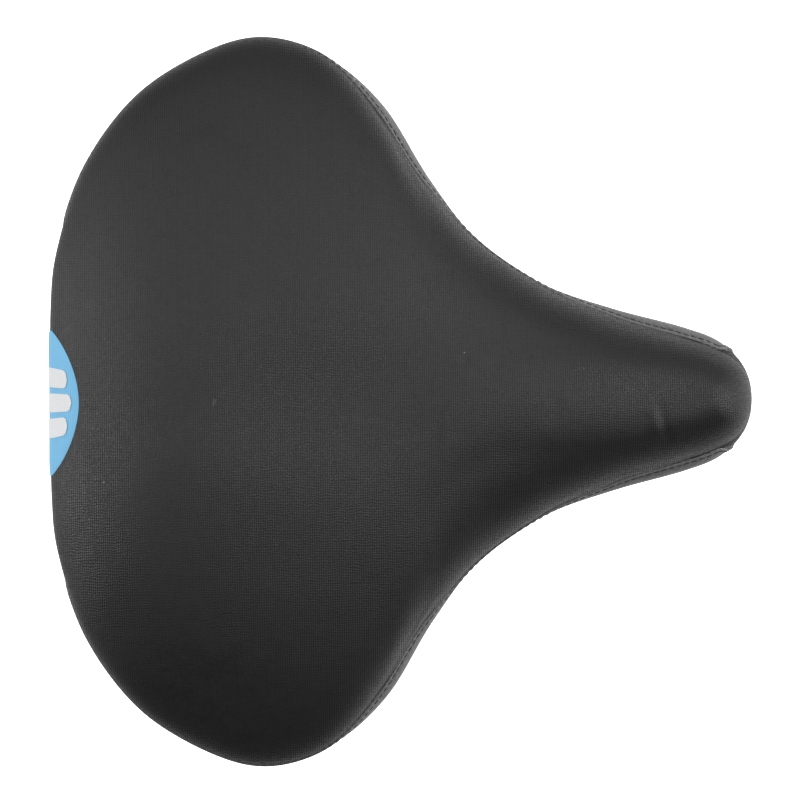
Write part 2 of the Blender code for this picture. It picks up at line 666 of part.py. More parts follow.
def coil_spring(name, side):
    """A compression spring with closed ends, standing between the two cups."""
    low = LOWER_BRIDGE_Z + BRIDGE_THICKNESS + GAP + CUP_THICKNESS + GAP + SPRING_WIRE_RADIUS
    high = UPPER_BRIDGE_Z - GAP - CUP_THICKNESS - GAP - SPRING_WIRE_RADIUS
    end_pitch = 2 * SPRING_WIRE_RADIUS + 2 * GAP
    active = SPRING_TURNS - 2 * SPRING_END_TURNS
    pitch = (high - low - 2 * SPRING_END_TURNS * end_pitch) / active
    points = []
    per_turn = 12
    for k in range(round(SPRING_TURNS * per_turn) + 1):
        turns = k / per_turn
        first = min(turns, SPRING_END_TURNS)
        last = max(turns - SPRING_END_TURNS - active, 0)
        z = low + end_pitch * (first + last) + pitch * (turns - first - last)
        angle = 2 * math.pi * turns
        points.append(
            (
                SPRING_X + SPRING_RADIUS * math.cos(angle),
                side * SPRING_Y + SPRING_RADIUS * math.sin(angle),
                z,
            )
        )
    return tube(name, points, SPRING_WIRE_RADIUS, 2, BLACK_STEEL)


def domed_bolt(name, radius, head_radius, head_height, length, place, up):
    """A round-headed bolt. Its head's flat face is at place, and its shank points up (1) or down (-1)."""
    profile = [
        (0, length),
        (radius - BOLT_CHAMFER, length),
        (radius, length - BOLT_CHAMFER),
        (radius, 0),
        (head_radius, 0),
        (head_radius, -0.3 * head_height),
        (0.75 * head_radius, -0.8 * head_height),
        (0.35 * head_radius, -head_height),
        (0, -head_height),
    ]
    if up < 0:
        profile = [(r, -height) for r, height in profile][::-1]
    return turned(name, profile, place, finish=ZINC, steps=SMALL_STEPS)


def hex_nut(name, across_flats, thickness, hole, place, upright=False):
    """A nut centred on place, with its corners broken."""
    made = plate(name, [hexagon(across_flats), circle((0, 0), hole)], thickness, place, upright)
    made.data.materials.append(material(*ZINC))
    return made


def make_spring_hardware():
    """The bridges' cups, bolts and nuts, on both sides."""
    lower_floor = LOWER_BRIDGE_Z + BRIDGE_THICKNESS + GAP
    upper_floor = UPPER_BRIDGE_Z - GAP
    base_top = PLATE_REAR_Z + BASE_THICKNESS
    hole = SPRING_BOLT_RADIUS + HOLE_GAP
    made = {"undercarriage": [], "seat": []}
    for word, side in (("left", 1), ("right", -1)):
        x, y = SPRING_X, side * SPRING_Y
        made["undercarriage"] += [
            spring_cup(f"lower_spring_cup_{word}", side, lower_floor, 1),
            domed_bolt(
                f"lower_spring_bolt_{word}",
                SPRING_BOLT_RADIUS, SPRING_HEAD_RADIUS, SPRING_HEAD_HEIGHT, LOWER_SHANK,
                (x, y, lower_floor + CUP_THICKNESS + GAP), -1,
            ),
            hex_nut(
                f"lower_spring_nut_{word}", SPRING_NUT_FLATS, SPRING_NUT_THICKNESS, hole,
                (x, y, LOWER_BRIDGE_Z - GAP - SPRING_NUT_THICKNESS / 2),
            ),
            coil_spring(f"coil_spring_{word}", side),
        ]
        made["seat"] += [
            spring_cup(f"upper_spring_cup_{word}", side, upper_floor, -1),
            domed_bolt(
                f"upper_spring_bolt_{word}",
                SPRING_BOLT_RADIUS, SPRING_HEAD_RADIUS, SPRING_HEAD_HEIGHT, UPPER_SHANK,
                (x, y, upper_floor - CUP_THICKNESS - GAP), 1,
            ),
            turned(
                f"tee_nut_{word}",
                [
                    (TEE_BARREL_RADIUS, TEE_HEIGHT), (TEE_BARREL_RADIUS, TEE_FLANGE_THICKNESS),
                    (TEE_FLANGE_RADIUS, TEE_FLANGE_THICKNESS), (TEE_FLANGE_RADIUS, 0),
                    (hole, 0), (hole, TEE_HEIGHT),
                ],
                (x, y, base_top + GAP),
                finish=ZINC,
            ),
        ]
    return made


def make_nose_hardware():
    """The nose bracket, which turns on the rail's front stretch, its bolts and their nut plate."""
    plate_z = PLATE_NOSE_Z - GAP - NOSE_PLATE_THICKNESS / 2
    web_x = NOSE_PIVOT.x - RAIL_RADIUS - GROOVE_GAP - NOSE_TUBE_WALL / 2
    inner, outer = RAIL_RADIUS + GROOVE_GAP, RAIL_RADIUS + GROOVE_GAP + NOSE_TUBE_WALL
    # Side view: a ring round the rail, a web up from its rear side, and a flange back along the base
    angle = math.degrees(math.acos((outer - NOSE_TUBE_WALL) / outer))
    top = plate_z + NOSE_PLATE_THICKNESS / 2 - NOSE_PIVOT.z
    low = top - NOSE_PLATE_THICKNESS
    front, back = web_x + NOSE_TUBE_WALL / 2 - NOSE_PIVOT.x, web_x - NOSE_TUBE_WALL / 2 - NOSE_PIVOT.x
    side_view = arc((0, 0), outer, 180, 540 - angle, ROUND_STEPS)[:-1]
    end = NOSE_FLANGE_END_X - NOSE_PIVOT.x
    side_view += [(front, math.sqrt(outer**2 - front**2)), (front, top), (end, top)]
    side_view += [(end, low), (back, low)]
    bracket = plate(
        "nose_bracket", [side_view, circle((0, 0), inner)], 2 * NOSE_HALF_WIDTH, NOSE_PIVOT, upright=True
    )
    bracket.data.materials.append(material(*BLACK_STEEL))
    hole = NOSE_BOLT_RADIUS + HOLE_GAP
    for x in NOSE_BOLTS:
        boolean(bracket, cutter(rod("nose_hole", hole, 4 * NOSE_PLATE_THICKNESS, (x, 0, plate_z))))
    base_top = PLATE_NOSE_Z + BASE_THICKNESS
    nut_plate = plate(
        "nose_nut_plate",
        [
            nut_plate_outline(0, NUT_PLATE_CORNER),
            *(circle((x, 0), hole, HOLE_STEPS) for x in NOSE_BOLTS),
        ],
        NUT_PLATE_THICKNESS,
        (0, 0, base_top + GAP + NUT_PLATE_THICKNESS / 2),
    )
    nut_plate.data.materials.append(material(*ZINC))
    head_z = plate_z - NOSE_PLATE_THICKNESS / 2 - GAP
    bolts = [
        domed_bolt(
            f"nose_bolt_{word}", NOSE_BOLT_RADIUS, NOSE_HEAD_RADIUS, NOSE_HEAD_HEIGHT, NOSE_SHANK,
            (x, 0, head_z), 1,
        )
        for word, x in zip(("rear", "front"), NOSE_BOLTS)
    ]
    return [bracket, nut_plate, *bolts]


# ---------------------------------------------------------------- undercarriage


def make_rail():
    """One wire: from the right rear end, forward through the clamp, across at the nose, and back."""
    left = [(point * Vector((1, -1, 1)), radius) for point, radius in reversed(RAIL_BENDS)]
    return tube("rail", filleted(RAIL_BENDS + left), RAIL_RADIUS, 4, BLACK_STEEL)


# ---------------------------------------------------------------- seatpost clamp


def make_collar():
    """A split band round the post, with two ears back to the stud."""
    inner = POST_RADIUS + POST_CLEAR
    outer = inner + COLLAR_THICKNESS
    ear_outer = EAR_INNER_Y + COLLAR_THICKNESS
    tail = STUD_X - EAR_RADIUS
    inside = math.degrees(math.asin(EAR_INNER_Y / inner))
    outside = math.degrees(math.asin(ear_outer / outer))
    loop = [(tail, EAR_INNER_Y)]
    loop += arc((0, 0), inner, 180 - inside, inside - 180, BAND_STEPS)
    loop += [(tail, -EAR_INNER_Y), (tail, -ear_outer)]
    loop += arc((0, 0), outer, outside - 180, 180 - outside, BAND_STEPS)
    loop += [(tail, ear_outer)]
    collar = plate("seatpost_collar", [loop], 2 * COLLAR_HALF_HEIGHT)
    collar.data.materials.append(material(*BLACK_STEEL))
    over, past = COLLAR_HALF_HEIGHT + 0.001, outer + 0.005
    side_view = arc((STUD_X, 0), EAR_RADIUS, 90, 270, ARC_STEPS)
    side_view += [(0.001 - outer, -over), (past, -over), (past, over), (0.001 - outer, over)]
    boolean(collar, cutter(plate("collar_side", [side_view], 4 * outer, upright=True)), "INTERSECT")
    boolean(collar, cutter(rod("ear_hole", STUD_RADIUS + HOLE_GAP, 3 * outer, (STUD_X, 0, 0), "Y")))
    return collar


def cheek(name, side, inner):
    """Half of the block that grips one rail: the inner half has a boss that meets the serrated washer."""
    face = RAIL_HALF_SPACING - CHEEK_HALF_SPLIT if inner else RAIL_HALF_SPACING + CHEEK_HALF_SPLIT
    washer_face = EAR_INNER_Y + COLLAR_THICKNESS + 2 * GAP + SERRATION_THICKNESS
    near = washer_face + CHEEK_BOSS_LENGTH if inner else face
    far = face if inner else face + OUTER_CHEEK_THICKNESS
    loop = rounded_box(
        (STUD_X - CHEEK_HALF_LENGTH, CHEEK_LOW), (STUD_X + CHEEK_HALF_LENGTH, CHEEK_HIGH), CHEEK_CORNER
    )
    made = plate(name, [loop], far - near, (0, side * (near + far) / 2, 0), upright=True)
    made.data.materials.append(material(*BLACK_STEEL))
    if inner:
        length = near - washer_face + CHEEK_BOSS_OVERLAP
        place = (STUD_X, side * (washer_face + length / 2), 0)
        boss = rod("cheek_boss", CHEEK_BOSS_RADIUS, length, place, "Y")
        boolean(made, cutter(boss), "UNION")
    place = (STUD_X, side * RAIL_HALF_SPACING, RAIL_Z)
    groove = rod("rail_groove", RAIL_RADIUS + GROOVE_GAP, CHEEK_CUT_LENGTH, place, "X")
    boolean(made, cutter(groove))
    place = (STUD_X, side * (near + far) / 2, 0)
    hole = rod("stud_hole", STUD_RADIUS + HOLE_GAP, CHEEK_CUT_LENGTH, place, "Y")
    boolean(made, cutter(hole))
    return made


def make_clamp():
    """Everything on the cross stud. The serrated washers stay with the collar, and the rest tilts."""
    ear_face = EAR_INNER_Y + COLLAR_THICKNESS
    outer_face = RAIL_HALF_SPACING + CHEEK_HALF_SPLIT + OUTER_CHEEK_THICKNESS
    hole = STUD_RADIUS + HOLE_GAP
    made = {"collar": [make_collar()], "rail_clamp": []}
    for word, side, axis in (("left", 1, "Y"), ("right", -1, "-Y")):
        made["collar"].append(
            ring(
                f"serrated_washer_{word}", hole, SERRATION_RADIUS, 0, SERRATION_THICKNESS,
                (STUD_X, side * (ear_face + GAP), 0), axis, ZINC,
            )
        )
        nut_y = outer_face + GAP + WASHER_THICKNESS + GAP + NUT_THICKNESS / 2
        made["rail_clamp"] += [
            cheek(f"inner_cheek_{word}", side, True),
            cheek(f"outer_cheek_{word}", side, False),
            ring(
                f"clamp_washer_{word}", hole, WASHER_RADIUS, 0, WASHER_THICKNESS,
                (STUD_X, side * (outer_face + GAP), 0), axis, ZINC,
            ),
            hex_nut(
                f"clamp_nut_{word}", NUT_ACROSS_FLATS, NUT_THICKNESS, STUD_RADIUS + HOLE_GAP,
                (STUD_X, side * nut_y, 0), upright=True,
            ),
        ]
    made["rail_clamp"].append(
        turned(
            "clamp_stud",
            [
                (0, STUD_HALF_LENGTH),
                (STUD_RADIUS - STUD_CHAMFER, STUD_HALF_LENGTH),
                (STUD_RADIUS, STUD_HALF_LENGTH - STUD_CHAMFER),
                (STUD_RADIUS, STUD_CHAMFER - STUD_HALF_LENGTH),
                (STUD_RADIUS - STUD_CHAMFER, -STUD_HALF_LENGTH),
                (0, -STUD_HALF_LENGTH),
            ],
            (STUD_X, 0, 0),
            "Y",
            ZINC,
        )
    )
    return made


# ---------------------------------------------------------------- assembly


def pivot(name, place, parent=None):
    """An empty on a joint's axis, which its pieces hang from."""
    empty = bpy.data.objects.new(name, None)
    bpy.data.collections["bicycle_saddle"].objects.link(empty)
    empty.location = place
    bpy.context.view_layer.update()
    if parent:
        hang(empty, parent)
    return empty


def hang(obj, parent):
    """Parents an object and leaves it where it is."""
    bpy.context.view_layer.update()
    obj.parent = parent
    obj.matrix_parent_inverse = parent.matrix_world.inverted()
    bpy.context.view_layer.update()


def main():
    clear_scene()
    clamp = make_clamp()
    springs = make_spring_hardware()
    groups = {
        "collar": clamp["collar"],
        "rail_clamp": clamp["rail_clamp"],
        "undercarriage": [make_rail(), bridge("rear_bridge", LOWER_BRIDGE_Z), *springs["undercarriage"]],
        "seat": [
            make_top_cover(),
            make_side_panel("side_panel_left", 1),
            make_side_panel("side_panel_right", -1),
            make_badge(),
            make_foam_pad(),
            make_base(),
            bridge("upper_bridge", UPPER_BRIDGE_Z),
            *springs["seat"],
            *make_nose_hardware(),
        ],
    }
    parents = {"collar": pivot("collar_origin", (0, 0, 0))}
    parents["rail_clamp"] = pivot("clamp_tilt", (STUD_X, 0, 0), parents["collar"])
    parents["undercarriage"] = pivot("rail_slide", (STUD_X, 0, RAIL_Z), parents["rail_clamp"])
    parents["seat"] = pivot("suspension", NOSE_PIVOT, parents["undercarriage"])
    for group, pieces in groups.items():
        for piece in pieces:
            hang(piece, parents[group])


main()
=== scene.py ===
"""The looks of a sprung cruiser saddle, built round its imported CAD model.

Metres. +X points to the nose, +Y to the rider's left and +Z up. The soft pieces repeat the CAD form of the
seat at a finer step, with its seams, stitches and hem. The metal pieces repeat the CAD ones with their edges,
threads and welds.
"""

import math
import random

import bmesh
import bpy
import numpy as np
from mathutils import Matrix, Vector


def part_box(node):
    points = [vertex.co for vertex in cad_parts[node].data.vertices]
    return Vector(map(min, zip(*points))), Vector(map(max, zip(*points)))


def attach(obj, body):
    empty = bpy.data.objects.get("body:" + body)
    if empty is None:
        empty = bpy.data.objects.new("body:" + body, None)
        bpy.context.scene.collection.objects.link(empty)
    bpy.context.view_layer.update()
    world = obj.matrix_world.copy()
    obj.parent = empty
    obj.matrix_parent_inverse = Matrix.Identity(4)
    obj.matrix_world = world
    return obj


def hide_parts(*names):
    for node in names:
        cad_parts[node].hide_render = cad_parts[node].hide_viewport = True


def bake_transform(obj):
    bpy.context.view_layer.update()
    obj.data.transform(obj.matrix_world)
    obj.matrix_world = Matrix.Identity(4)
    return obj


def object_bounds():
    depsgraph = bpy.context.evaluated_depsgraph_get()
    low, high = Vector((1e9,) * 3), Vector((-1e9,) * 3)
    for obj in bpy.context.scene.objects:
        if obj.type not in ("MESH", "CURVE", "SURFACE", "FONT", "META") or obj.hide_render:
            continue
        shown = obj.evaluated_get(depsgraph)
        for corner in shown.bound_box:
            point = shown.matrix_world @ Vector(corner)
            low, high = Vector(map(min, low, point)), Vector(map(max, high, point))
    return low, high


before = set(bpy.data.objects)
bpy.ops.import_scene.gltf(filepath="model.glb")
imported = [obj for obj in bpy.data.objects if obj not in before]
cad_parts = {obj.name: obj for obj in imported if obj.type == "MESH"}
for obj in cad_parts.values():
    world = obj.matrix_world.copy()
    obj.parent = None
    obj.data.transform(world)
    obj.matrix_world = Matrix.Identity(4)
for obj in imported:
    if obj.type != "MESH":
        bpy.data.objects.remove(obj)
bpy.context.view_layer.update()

COVER_LOW, COVER_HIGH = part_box("top_cover")

# Plan of the seat, from the rear centre to the nose centre: share of the length, and share of the half width
HALF_WIDTH = COVER_HIGH.y
LENGTH = 2 * HALF_WIDTH * 0.963
REAR_X = COVER_LOW.x
OUTLINE = [
    (0.000, 0.000), (0.000, 0.250), (0.010, 0.420), (0.050, 0.645), (0.125, 0.842), (0.225, 0.965),
    (0.310, 1.000), (0.400, 0.943), (0.475, 0.815), (0.540, 0.612), (0.610, 0.438), (0.700, 0.322),
    (0.800, 0.253), (0.900, 0.201), (0.955, 0.158), (0.990, 0.085), (1.000, 0.000),
]
SPANS = len(OUTLINE) - 1

# Heights above the cover's lowest point, and wall shape, by share of the length from the rear
FLOOR_Z = COVER_LOW.z
SHOULDER_Z = [(0.0, 0.040), (0.2, 0.028), (0.35, 0.023), (0.6, 0.022), (0.85, 0.023), (1.0, 0.023)]
RIM_Z = [(0.0, 0.006), (0.2, 0.003), (0.35, 0.0), (0.5, 0.0), (0.65, 0.003), (0.85, 0.002), (1.0, 0.0)]
CROWN_Z = [(0.24, 0.064), (0.4, 0.059), (0.55, 0.0525), (0.75, 0.048), (0.93, 0.0425)]
WALL_BULGE = [(0.0, 0.0), (0.36, 0.0005), (0.495, 0.0055), (0.60, 0.0015), (0.65, 0.0010), (0.72, 0.0025),
              (0.85, 0.0055), (0.95, 0.005), (1.0, 0.002)]
SPINE, BASE_SPINE = (0.24, 0.93), (0.2, 0.95)
SPINE_MARGIN = 0.02  # of the length at each end, where the edge shares the end of the spine
DOME_POWER, DOME_ROUND = 2.2, 0.62
DIP_DEPTH, DIP_HALF_WIDTH = 0.0035, 0.022
DIP_FROM, DIP_TO, DIP_REAR_FADE, DIP_FRONT_FADE = 0.15, 0.6, 0.15, 0.2
WALL_TUCK = 0.006
RIM_RADIUS = 0.004
FLAT_MIDDLE = 0.05  # how far from the centre line the top is taken as level
HEM_WIDTH, HEM_MOST_SHARE = 0.012, 0.17
SEAM_DEPTH, SEAM_REAR, SEAM_NOSE = 0.04, (1.3, 2.5), (15.3, 14.0)
SEAM_SPAN, PANEL_SPAN = (1.30, 15.27), (1.32, 15.24)  # outline points that they run between
STEP = 0.0005  # between the points that a slope is taken from
COVER_THICKNESS, PANEL_THICKNESS, PANEL_SINK = 0.0015, 0.0011, 0.0001
BASE_THICKNESS, BASE_EDGE_INSET, BASE_CLEAR, FOAM_CLEAR = 0.003, 0.005, 0.0010, 0.0013
FOAM_LIFT = 0.0006  # off the base
BASE_RAMP, RAMP_MOST_SHARE = 0.0115, 0.26
PLATE_REAR_Z, PLATE_NOSE_Z, PLATE_FALL_FROM, PLATE_FALL_TO = 0.0165, 0.0095, 0.45, 0.68

# Seam and stitches
STITCH_PITCH, STITCH_LENGTH, THREAD_RADIUS = 0.0030, 0.0023, 0.00025
STEPS_PER_STITCH = 8
STITCH_RISE, STITCH_SINK, STITCH_WANDER = 0.00030, 0.00012, 0.00006
STITCH_ROWS = (-0.0011, 0.0010)  # on the knit and on the vinyl, across the seam
SEAM_PROFILE = [  # across the seam towards the panel, and proud of the skin
    (-0.0008, -0.0008), (-0.0008, 0.0001), (-0.0006, 0.00032), (-0.0004, 0.00040), (-0.0001, 0.00048),
    (0.0002, 0.00062), (0.0004, 0.00060), (0.0006, 0.00036), (0.0008, 0.00012), (0.0010, 0.0000),
    (0.0012, 0.00012), (0.0014, 0.0001), (0.0017, -0.0006),
]
GROOVE_PLACE, GROOVE_HALF_WIDTH, GROOVE_WAVE = 0.0010, 0.0004, 0.00016
DENT_DEPTH, DENT_REACH = 0.00012, 0.10  # that each stitch pulls into the vinyl
GATHER_DEPTH, GATHER_PITCH, GATHER_FROM = 0.00035, 0.0085, 2.55  # of the hem under the rim
WALE, COURSE = 0.00083, 0.0010  # the knit's ribs side by side along X, and its loops along Y

SIDES = (("left", 1), ("right", -1))
RNG = random.Random(7)


# ---- form of the seat


def table_value(table, at):
    """Smooth values between the rows of a table of (position, value)."""
    xs, ys = np.array(table).T
    slopes = np.zeros(len(xs))
    slopes[1:-1] = (ys[2:] - ys[:-2]) / (xs[2:] - xs[:-2])
    at = np.clip(at, xs[0], xs[-1])
    i = np.clip(np.searchsorted(xs, at, side="right") - 1, 0, len(xs) - 2)
    span = xs[i + 1] - xs[i]
    s = (at - xs[i]) / span
    bend = slopes[i] * s * (1 - s) ** 2 - slopes[i + 1] * s * s * (1 - s)
    return ys[i] + (ys[i + 1] - ys[i]) * s * s * (3 - 2 * s) + span * bend


def smoothstep(share):
    share = np.clip(share, 0.0, 1.0)
    return share * share * (3 - 2 * share)


def outline_controls():
    """The outline's points in metres, with two more past each end, mirrored in the centre plane."""
    points = np.array(OUTLINE) * (LENGTH, HALF_WIDTH) + (REAR_X, 0)
    flip = np.array((1, -1))
    return np.concatenate([points[2:0:-1] * flip, points, points[-2:-4:-1] * flip])


CONTROLS = outline_controls()


def outline_point(t):
    """The plan outline, a smooth curve: t is 0 at the rear centre and 1 at the nose centre."""
    place = np.asarray(t, float) * SPANS
    i = np.clip(np.floor(place).astype(int), -1, SPANS)
    s = (place - i)[..., None]
    a, b, c, d = (CONTROLS[i + k] for k in (1, 2, 3, 4))
    square, cube = 2 * a - 5 * b + 4 * c - d, 3 * b - a - 3 * c + d
    return 0.5 * (2 * b + (c - a) * s + square * s**2 + cube * s**3)


def station(t):
    """The edge at t: its plan point, its outward direction, and its share of the length."""
    along = outline_point(t + STEP) - outline_point(t - STEP)
    along /= np.linalg.norm(along, axis=-1, keepdims=True)
    place = outline_point(t)
    outward = np.stack([-along[..., 1], along[..., 0]], -1)
    return place, outward, (place[..., 0] - REAR_X) / LENGTH


def spine_at(share, spine=SPINE):
    """The spine's point for an edge point, both as shares of the length."""
    along = np.clip((share - SPINE_MARGIN) / (1 - 2 * SPINE_MARGIN), 0.0, 1.0)
    return spine[0] + (spine[1] - spine[0]) * along


def spine_point(share, spine=SPINE):
    x = REAR_X + LENGTH * spine_at(share, spine)
    return np.stack([x, np.zeros_like(x)], -1)


def dip(flat):
    """How far the top sinks along the middle, between the two sides that carry the rider."""
    along = (flat[..., 0] - REAR_X) / LENGTH
    fade = smoothstep((along - DIP_FROM) / DIP_REAR_FADE) * smoothstep((DIP_TO - along) / DIP_FRONT_FADE)
    return DIP_DEPTH * fade * np.exp(-((flat[..., 1] / DIP_HALF_WIDTH) ** 2))


def wall_inset(bulge):
    """How far the shoulder stands in from the outline, so that the wall's widest point is on it."""
    return 4 * bulge**2 / (4 * bulge + WALL_TUCK)


def edge_and_spine(t):
    place, outward, share = station(t)
    inset = wall_inset(table_value(WALL_BULGE, share)) + WALL_TUCK + BASE_EDGE_INSET
    return place - outward * inset[..., None], spine_point(share, BASE_SPINE)


def base_reach(t):
    edge, spine = edge_and_spine(t)
    return np.linalg.norm(edge - spine, axis=-1)


def hem_width(t):
    return np.minimum(HEM_WIDTH, HEM_MOST_SHARE * base_reach(t))


def skin(t, q):
    """Outside of the cover: q is 0 on the centre line, 1 at the shoulder, 2 at the wall's foot, 2.5 under the
    rim and 3 at the hem's edge."""
    t, q = np.broadcast_arrays(np.asarray(t, float), np.asarray(q, float))
    place, outward, share = station(t)
    bulge = table_value(WALL_BULGE, share)
    shoulder = place - outward * wall_inset(bulge)[..., None]
    shoulder_z, rim_z = table_value(SHOULDER_Z, share), table_value(RIM_Z, share)
    foot_z = rim_z + RIM_RADIUS

    r = np.clip(q, 0, 1)
    spine = spine_point(share)
    top_flat = spine + (shoulder - spine) * r[..., None]
    dome = (1 - r**DOME_POWER) ** DOME_ROUND
    crown = table_value(CROWN_Z, spine_at(share))
    top_z = shoulder_z + (crown - shoulder_z) * dome - dip(top_flat) * dome

    v = np.clip(q - 1, 0, 1)
    wall_flat = shoulder + outward * (4 * bulge * v * (1 - v) - WALL_TUCK * v * v)[..., None]
    wall_z = shoulder_z + (foot_z - shoulder_z) * v

    turn = np.radians(90) * np.clip((q - 2) / 0.5, 0, 1)
    inward = RIM_RADIUS * (1 - np.cos(turn)) + hem_width(t) * np.clip((q - 2.5) / 0.5, 0, 1)
    rim_flat = shoulder - outward * (WALL_TUCK + inward)[..., None]
    rim_height = foot_z - RIM_RADIUS * np.sin(turn)

    on_top, on_wall = (q <= 1)[..., None], (q <= 2)[..., None]
    flat = np.where(on_top, top_flat, np.where(on_wall, wall_flat, rim_flat))
    z = np.where(q <= 1, top_z, np.where(q <= 2, wall_z, rim_height))
    return np.concatenate([flat, (FLOOR_Z + z)[..., None]], -1)


def lengths_along(points):
    """How far along a line of points each of them is."""
    return np.concatenate([[0], np.cumsum(np.linalg.norm(np.diff(points, axis=0), axis=1))])


def unit(vectors):
    return vectors / np.maximum(np.linalg.norm(vectors, axis=-1, keepdims=True), 1e-12)


def normal(t, q):
    """Outward direction of the skin, straight up on the centre line."""
    t, q = np.broadcast_arrays(np.asarray(t, float), np.asarray(q, float))
    along = skin(t + STEP, q) - skin(t - STEP, q)
    down = skin(t, np.minimum(q + STEP, 3)) - skin(t, np.maximum(q - STEP, 0))
    return np.where((q < FLAT_MIDDLE)[..., None], (0.0, 0.0, 1.0), unit(np.cross(along, down)))


def seam_place(t):
    """Where the seam beside the top runs: along the shoulder, then down to the hem at both ends."""
    at = np.asarray(t) * SPANS
    rear = smoothstep((SEAM_REAR[1] - at) / (SEAM_REAR[1] - SEAM_REAR[0]))
    nose = smoothstep((at - SEAM_NOSE[1]) / (SEAM_NOSE[0] - SEAM_NOSE[1]))
    return 1 + SEAM_DEPTH + (2 - SEAM_DEPTH) * np.maximum(rear, nose)


def plate_height(x):
    """The base plate's underside, above the cover's lowest point."""
    fall = smoothstep(((x - REAR_X) / LENGTH - PLATE_FALL_FROM) / (PLATE_FALL_TO - PLATE_FALL_FROM))
    return PLATE_REAR_Z + (PLATE_NOSE_Z - PLATE_REAR_Z) * fall


def base_point(t, distance, lift):
    """A point of the base's underside, distance in from its edge, raised by lift."""
    edge, spine = edge_and_spine(t)
    reach = base_reach(t)
    flat = edge + (spine - edge) * np.clip(distance / reach, 0, 1)[..., None]
    share = (outline_point(t)[..., 0] - REAR_X) / LENGTH
    low = table_value(RIM_Z, share) + COVER_THICKNESS + BASE_CLEAR
    high = plate_height(flat[..., 0])
    rise = smoothstep((distance - hem_width(t)) / np.minimum(BASE_RAMP, RAMP_MOST_SHARE * reach))
    return np.concatenate([flat, (FLOOR_Z + low + (high - low) * rise + lift)[..., None]], -1)


# ---- meshes


def link(name, data):
    obj = bpy.data.objects.new(name, data)
    bpy.context.scene.collection.objects.link(obj)
    return obj


def declare(obj, body, node=None):
    """Which body a piece moves with, and the CAD node that it stands for."""
    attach(obj, body)
    if node:
        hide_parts(node)


def new_object(name, points, faces, finish=None):
    """A mesh object in the scene. Points is an array of rows of x, y, z."""
    mesh = bpy.data.meshes.new(name)
    mesh.from_pydata(np.asarray(points, float).reshape(-1, 3).tolist(), [], faces)
    mesh.polygons.foreach_set("use_smooth", [True] * len(mesh.polygons))
    if finish:
        mesh.materials.append(finish)
    return link(name, mesh)


def grid_faces(rows, columns, start=0, wrap_rows=False, wrap_columns=False, flip=False):
    """Quads through a grid of points stored row by row."""
    faces = []
    for i in range(rows if wrap_rows else rows - 1):
        for j in range(columns if wrap_columns else columns - 1):
            k, m = (i + 1) % rows, (j + 1) % columns
            face = [i * columns + j, i * columns + m, k * columns + m, k * columns + j]
            faces.append([start + n for n in (face[::-1] if flip else face)])
    return faces


def end_faces(rows, columns, start=0, flip=False):
    """The two ends of a grid whose columns close into a ring."""
    first = list(range(start, start + columns))
    last = [k + (rows - 1) * columns for k in first]
    return [first, last[::-1]] if flip else [first[::-1], last]


def positions(obj):
    return np.array([vertex.co for vertex in obj.data.vertices])


def move_to(obj, points):
    obj.data.vertices.foreach_set("co", points.ravel())
    obj.data.update()


def crisp(obj, degrees):
    """Keeps the edges sharp where faces meet at more than an angle."""
    obj.data.set_sharp_from_angle(angle=math.radians(degrees))


def clean(obj, distance=0.00001, outward=False):
    """Welds coincident points, and can turn every face of a closed form outwards."""
    form = bmesh.new()
    form.from_mesh(obj.data)
    bmesh.ops.remove_doubles(form, verts=form.verts, dist=distance)
    bmesh.ops.dissolve_degenerate(form, edges=form.edges, dist=distance / 10)
    if outward:
        bmesh.ops.recalc_face_normals(form, faces=form.faces)
    form.to_mesh(obj.data)
    form.free()
    return obj


def apply_modifiers(obj):
    """Turns the evaluated shape into the object's own mesh."""
    bpy.context.view_layer.update()
    made = bpy.data.meshes.new_from_object(obj.evaluated_get(bpy.context.evaluated_depsgraph_get()))
    old = obj.data
    obj.modifiers.clear()
    obj.data = made
    bpy.data.meshes.remove(old)


def both_halves(name, grid, finish=None):
    """A sheet from a grid on the rider's left, mirrored to the right and joined on the centre plane."""
    rows, columns = grid.shape[:2]
    right = grid * (1, -1, 1)
    faces = grid_faces(rows, columns) + grid_faces(rows, columns, rows * columns, flip=True)
    return clean(new_object(name, np.concatenate([grid.reshape(-1, 3), right.reshape(-1, 3)]), faces, finish))


def sweep(name, path, section, normals=None, finish=None, scale=None):
    """A solid with a closed section of (across, up) along a path. Normals give its up at each point."""
    path, section = np.asarray(path, float), np.asarray(section, float)
    tangent = unit(np.gradient(path, axis=0))
    if normals is None:
        normals = parallel_normals(tangent)
    across = unit(np.cross(tangent, normals))
    up = np.cross(across, tangent)
    size = np.ones(len(path)) if scale is None else np.asarray(scale)
    drawn = section[None] * size[:, None, None]
    points = path[:, None] + across[:, None] * drawn[..., 0, None] + up[:, None] * drawn[..., 1, None]
    rows, columns = points.shape[:2]
    faces = grid_faces(rows, columns, wrap_columns=True) + end_faces(rows, columns)
    return clean(new_object(name, points, faces, finish), 1e-8, outward=True)


def parallel_normals(tangent):
    """Directions that are carried along a path without twisting round it."""
    first = np.cross(tangent[0], (0.3, 0.2, 0.9))
    normals = [first / np.linalg.norm(first)]
    for direction in tangent[1:]:
        carried = normals[-1] - direction * (normals[-1] @ direction)
        normals.append(carried / np.linalg.norm(carried))
    return np.array(normals)


def round_angles(count):
    return np.linspace(0, math.tau, count, endpoint=False)


def round_section(radius, sides):
    angles = round_angles(sides)
    return np.stack([radius * np.cos(angles), radius * np.sin(angles)], -1)


def join(name, objects):
    """Makes one object of several."""
    form = bmesh.new()
    for obj in objects:
        form.from_mesh(obj.data)
    mesh = bpy.data.meshes.new(name)
    form.to_mesh(mesh)
    form.free()
    for finish in objects[0].data.materials:
        mesh.materials.append(finish)
    for obj in objects:
        bpy.data.objects.remove(obj)
    return link(name, mesh)


# ---- materials


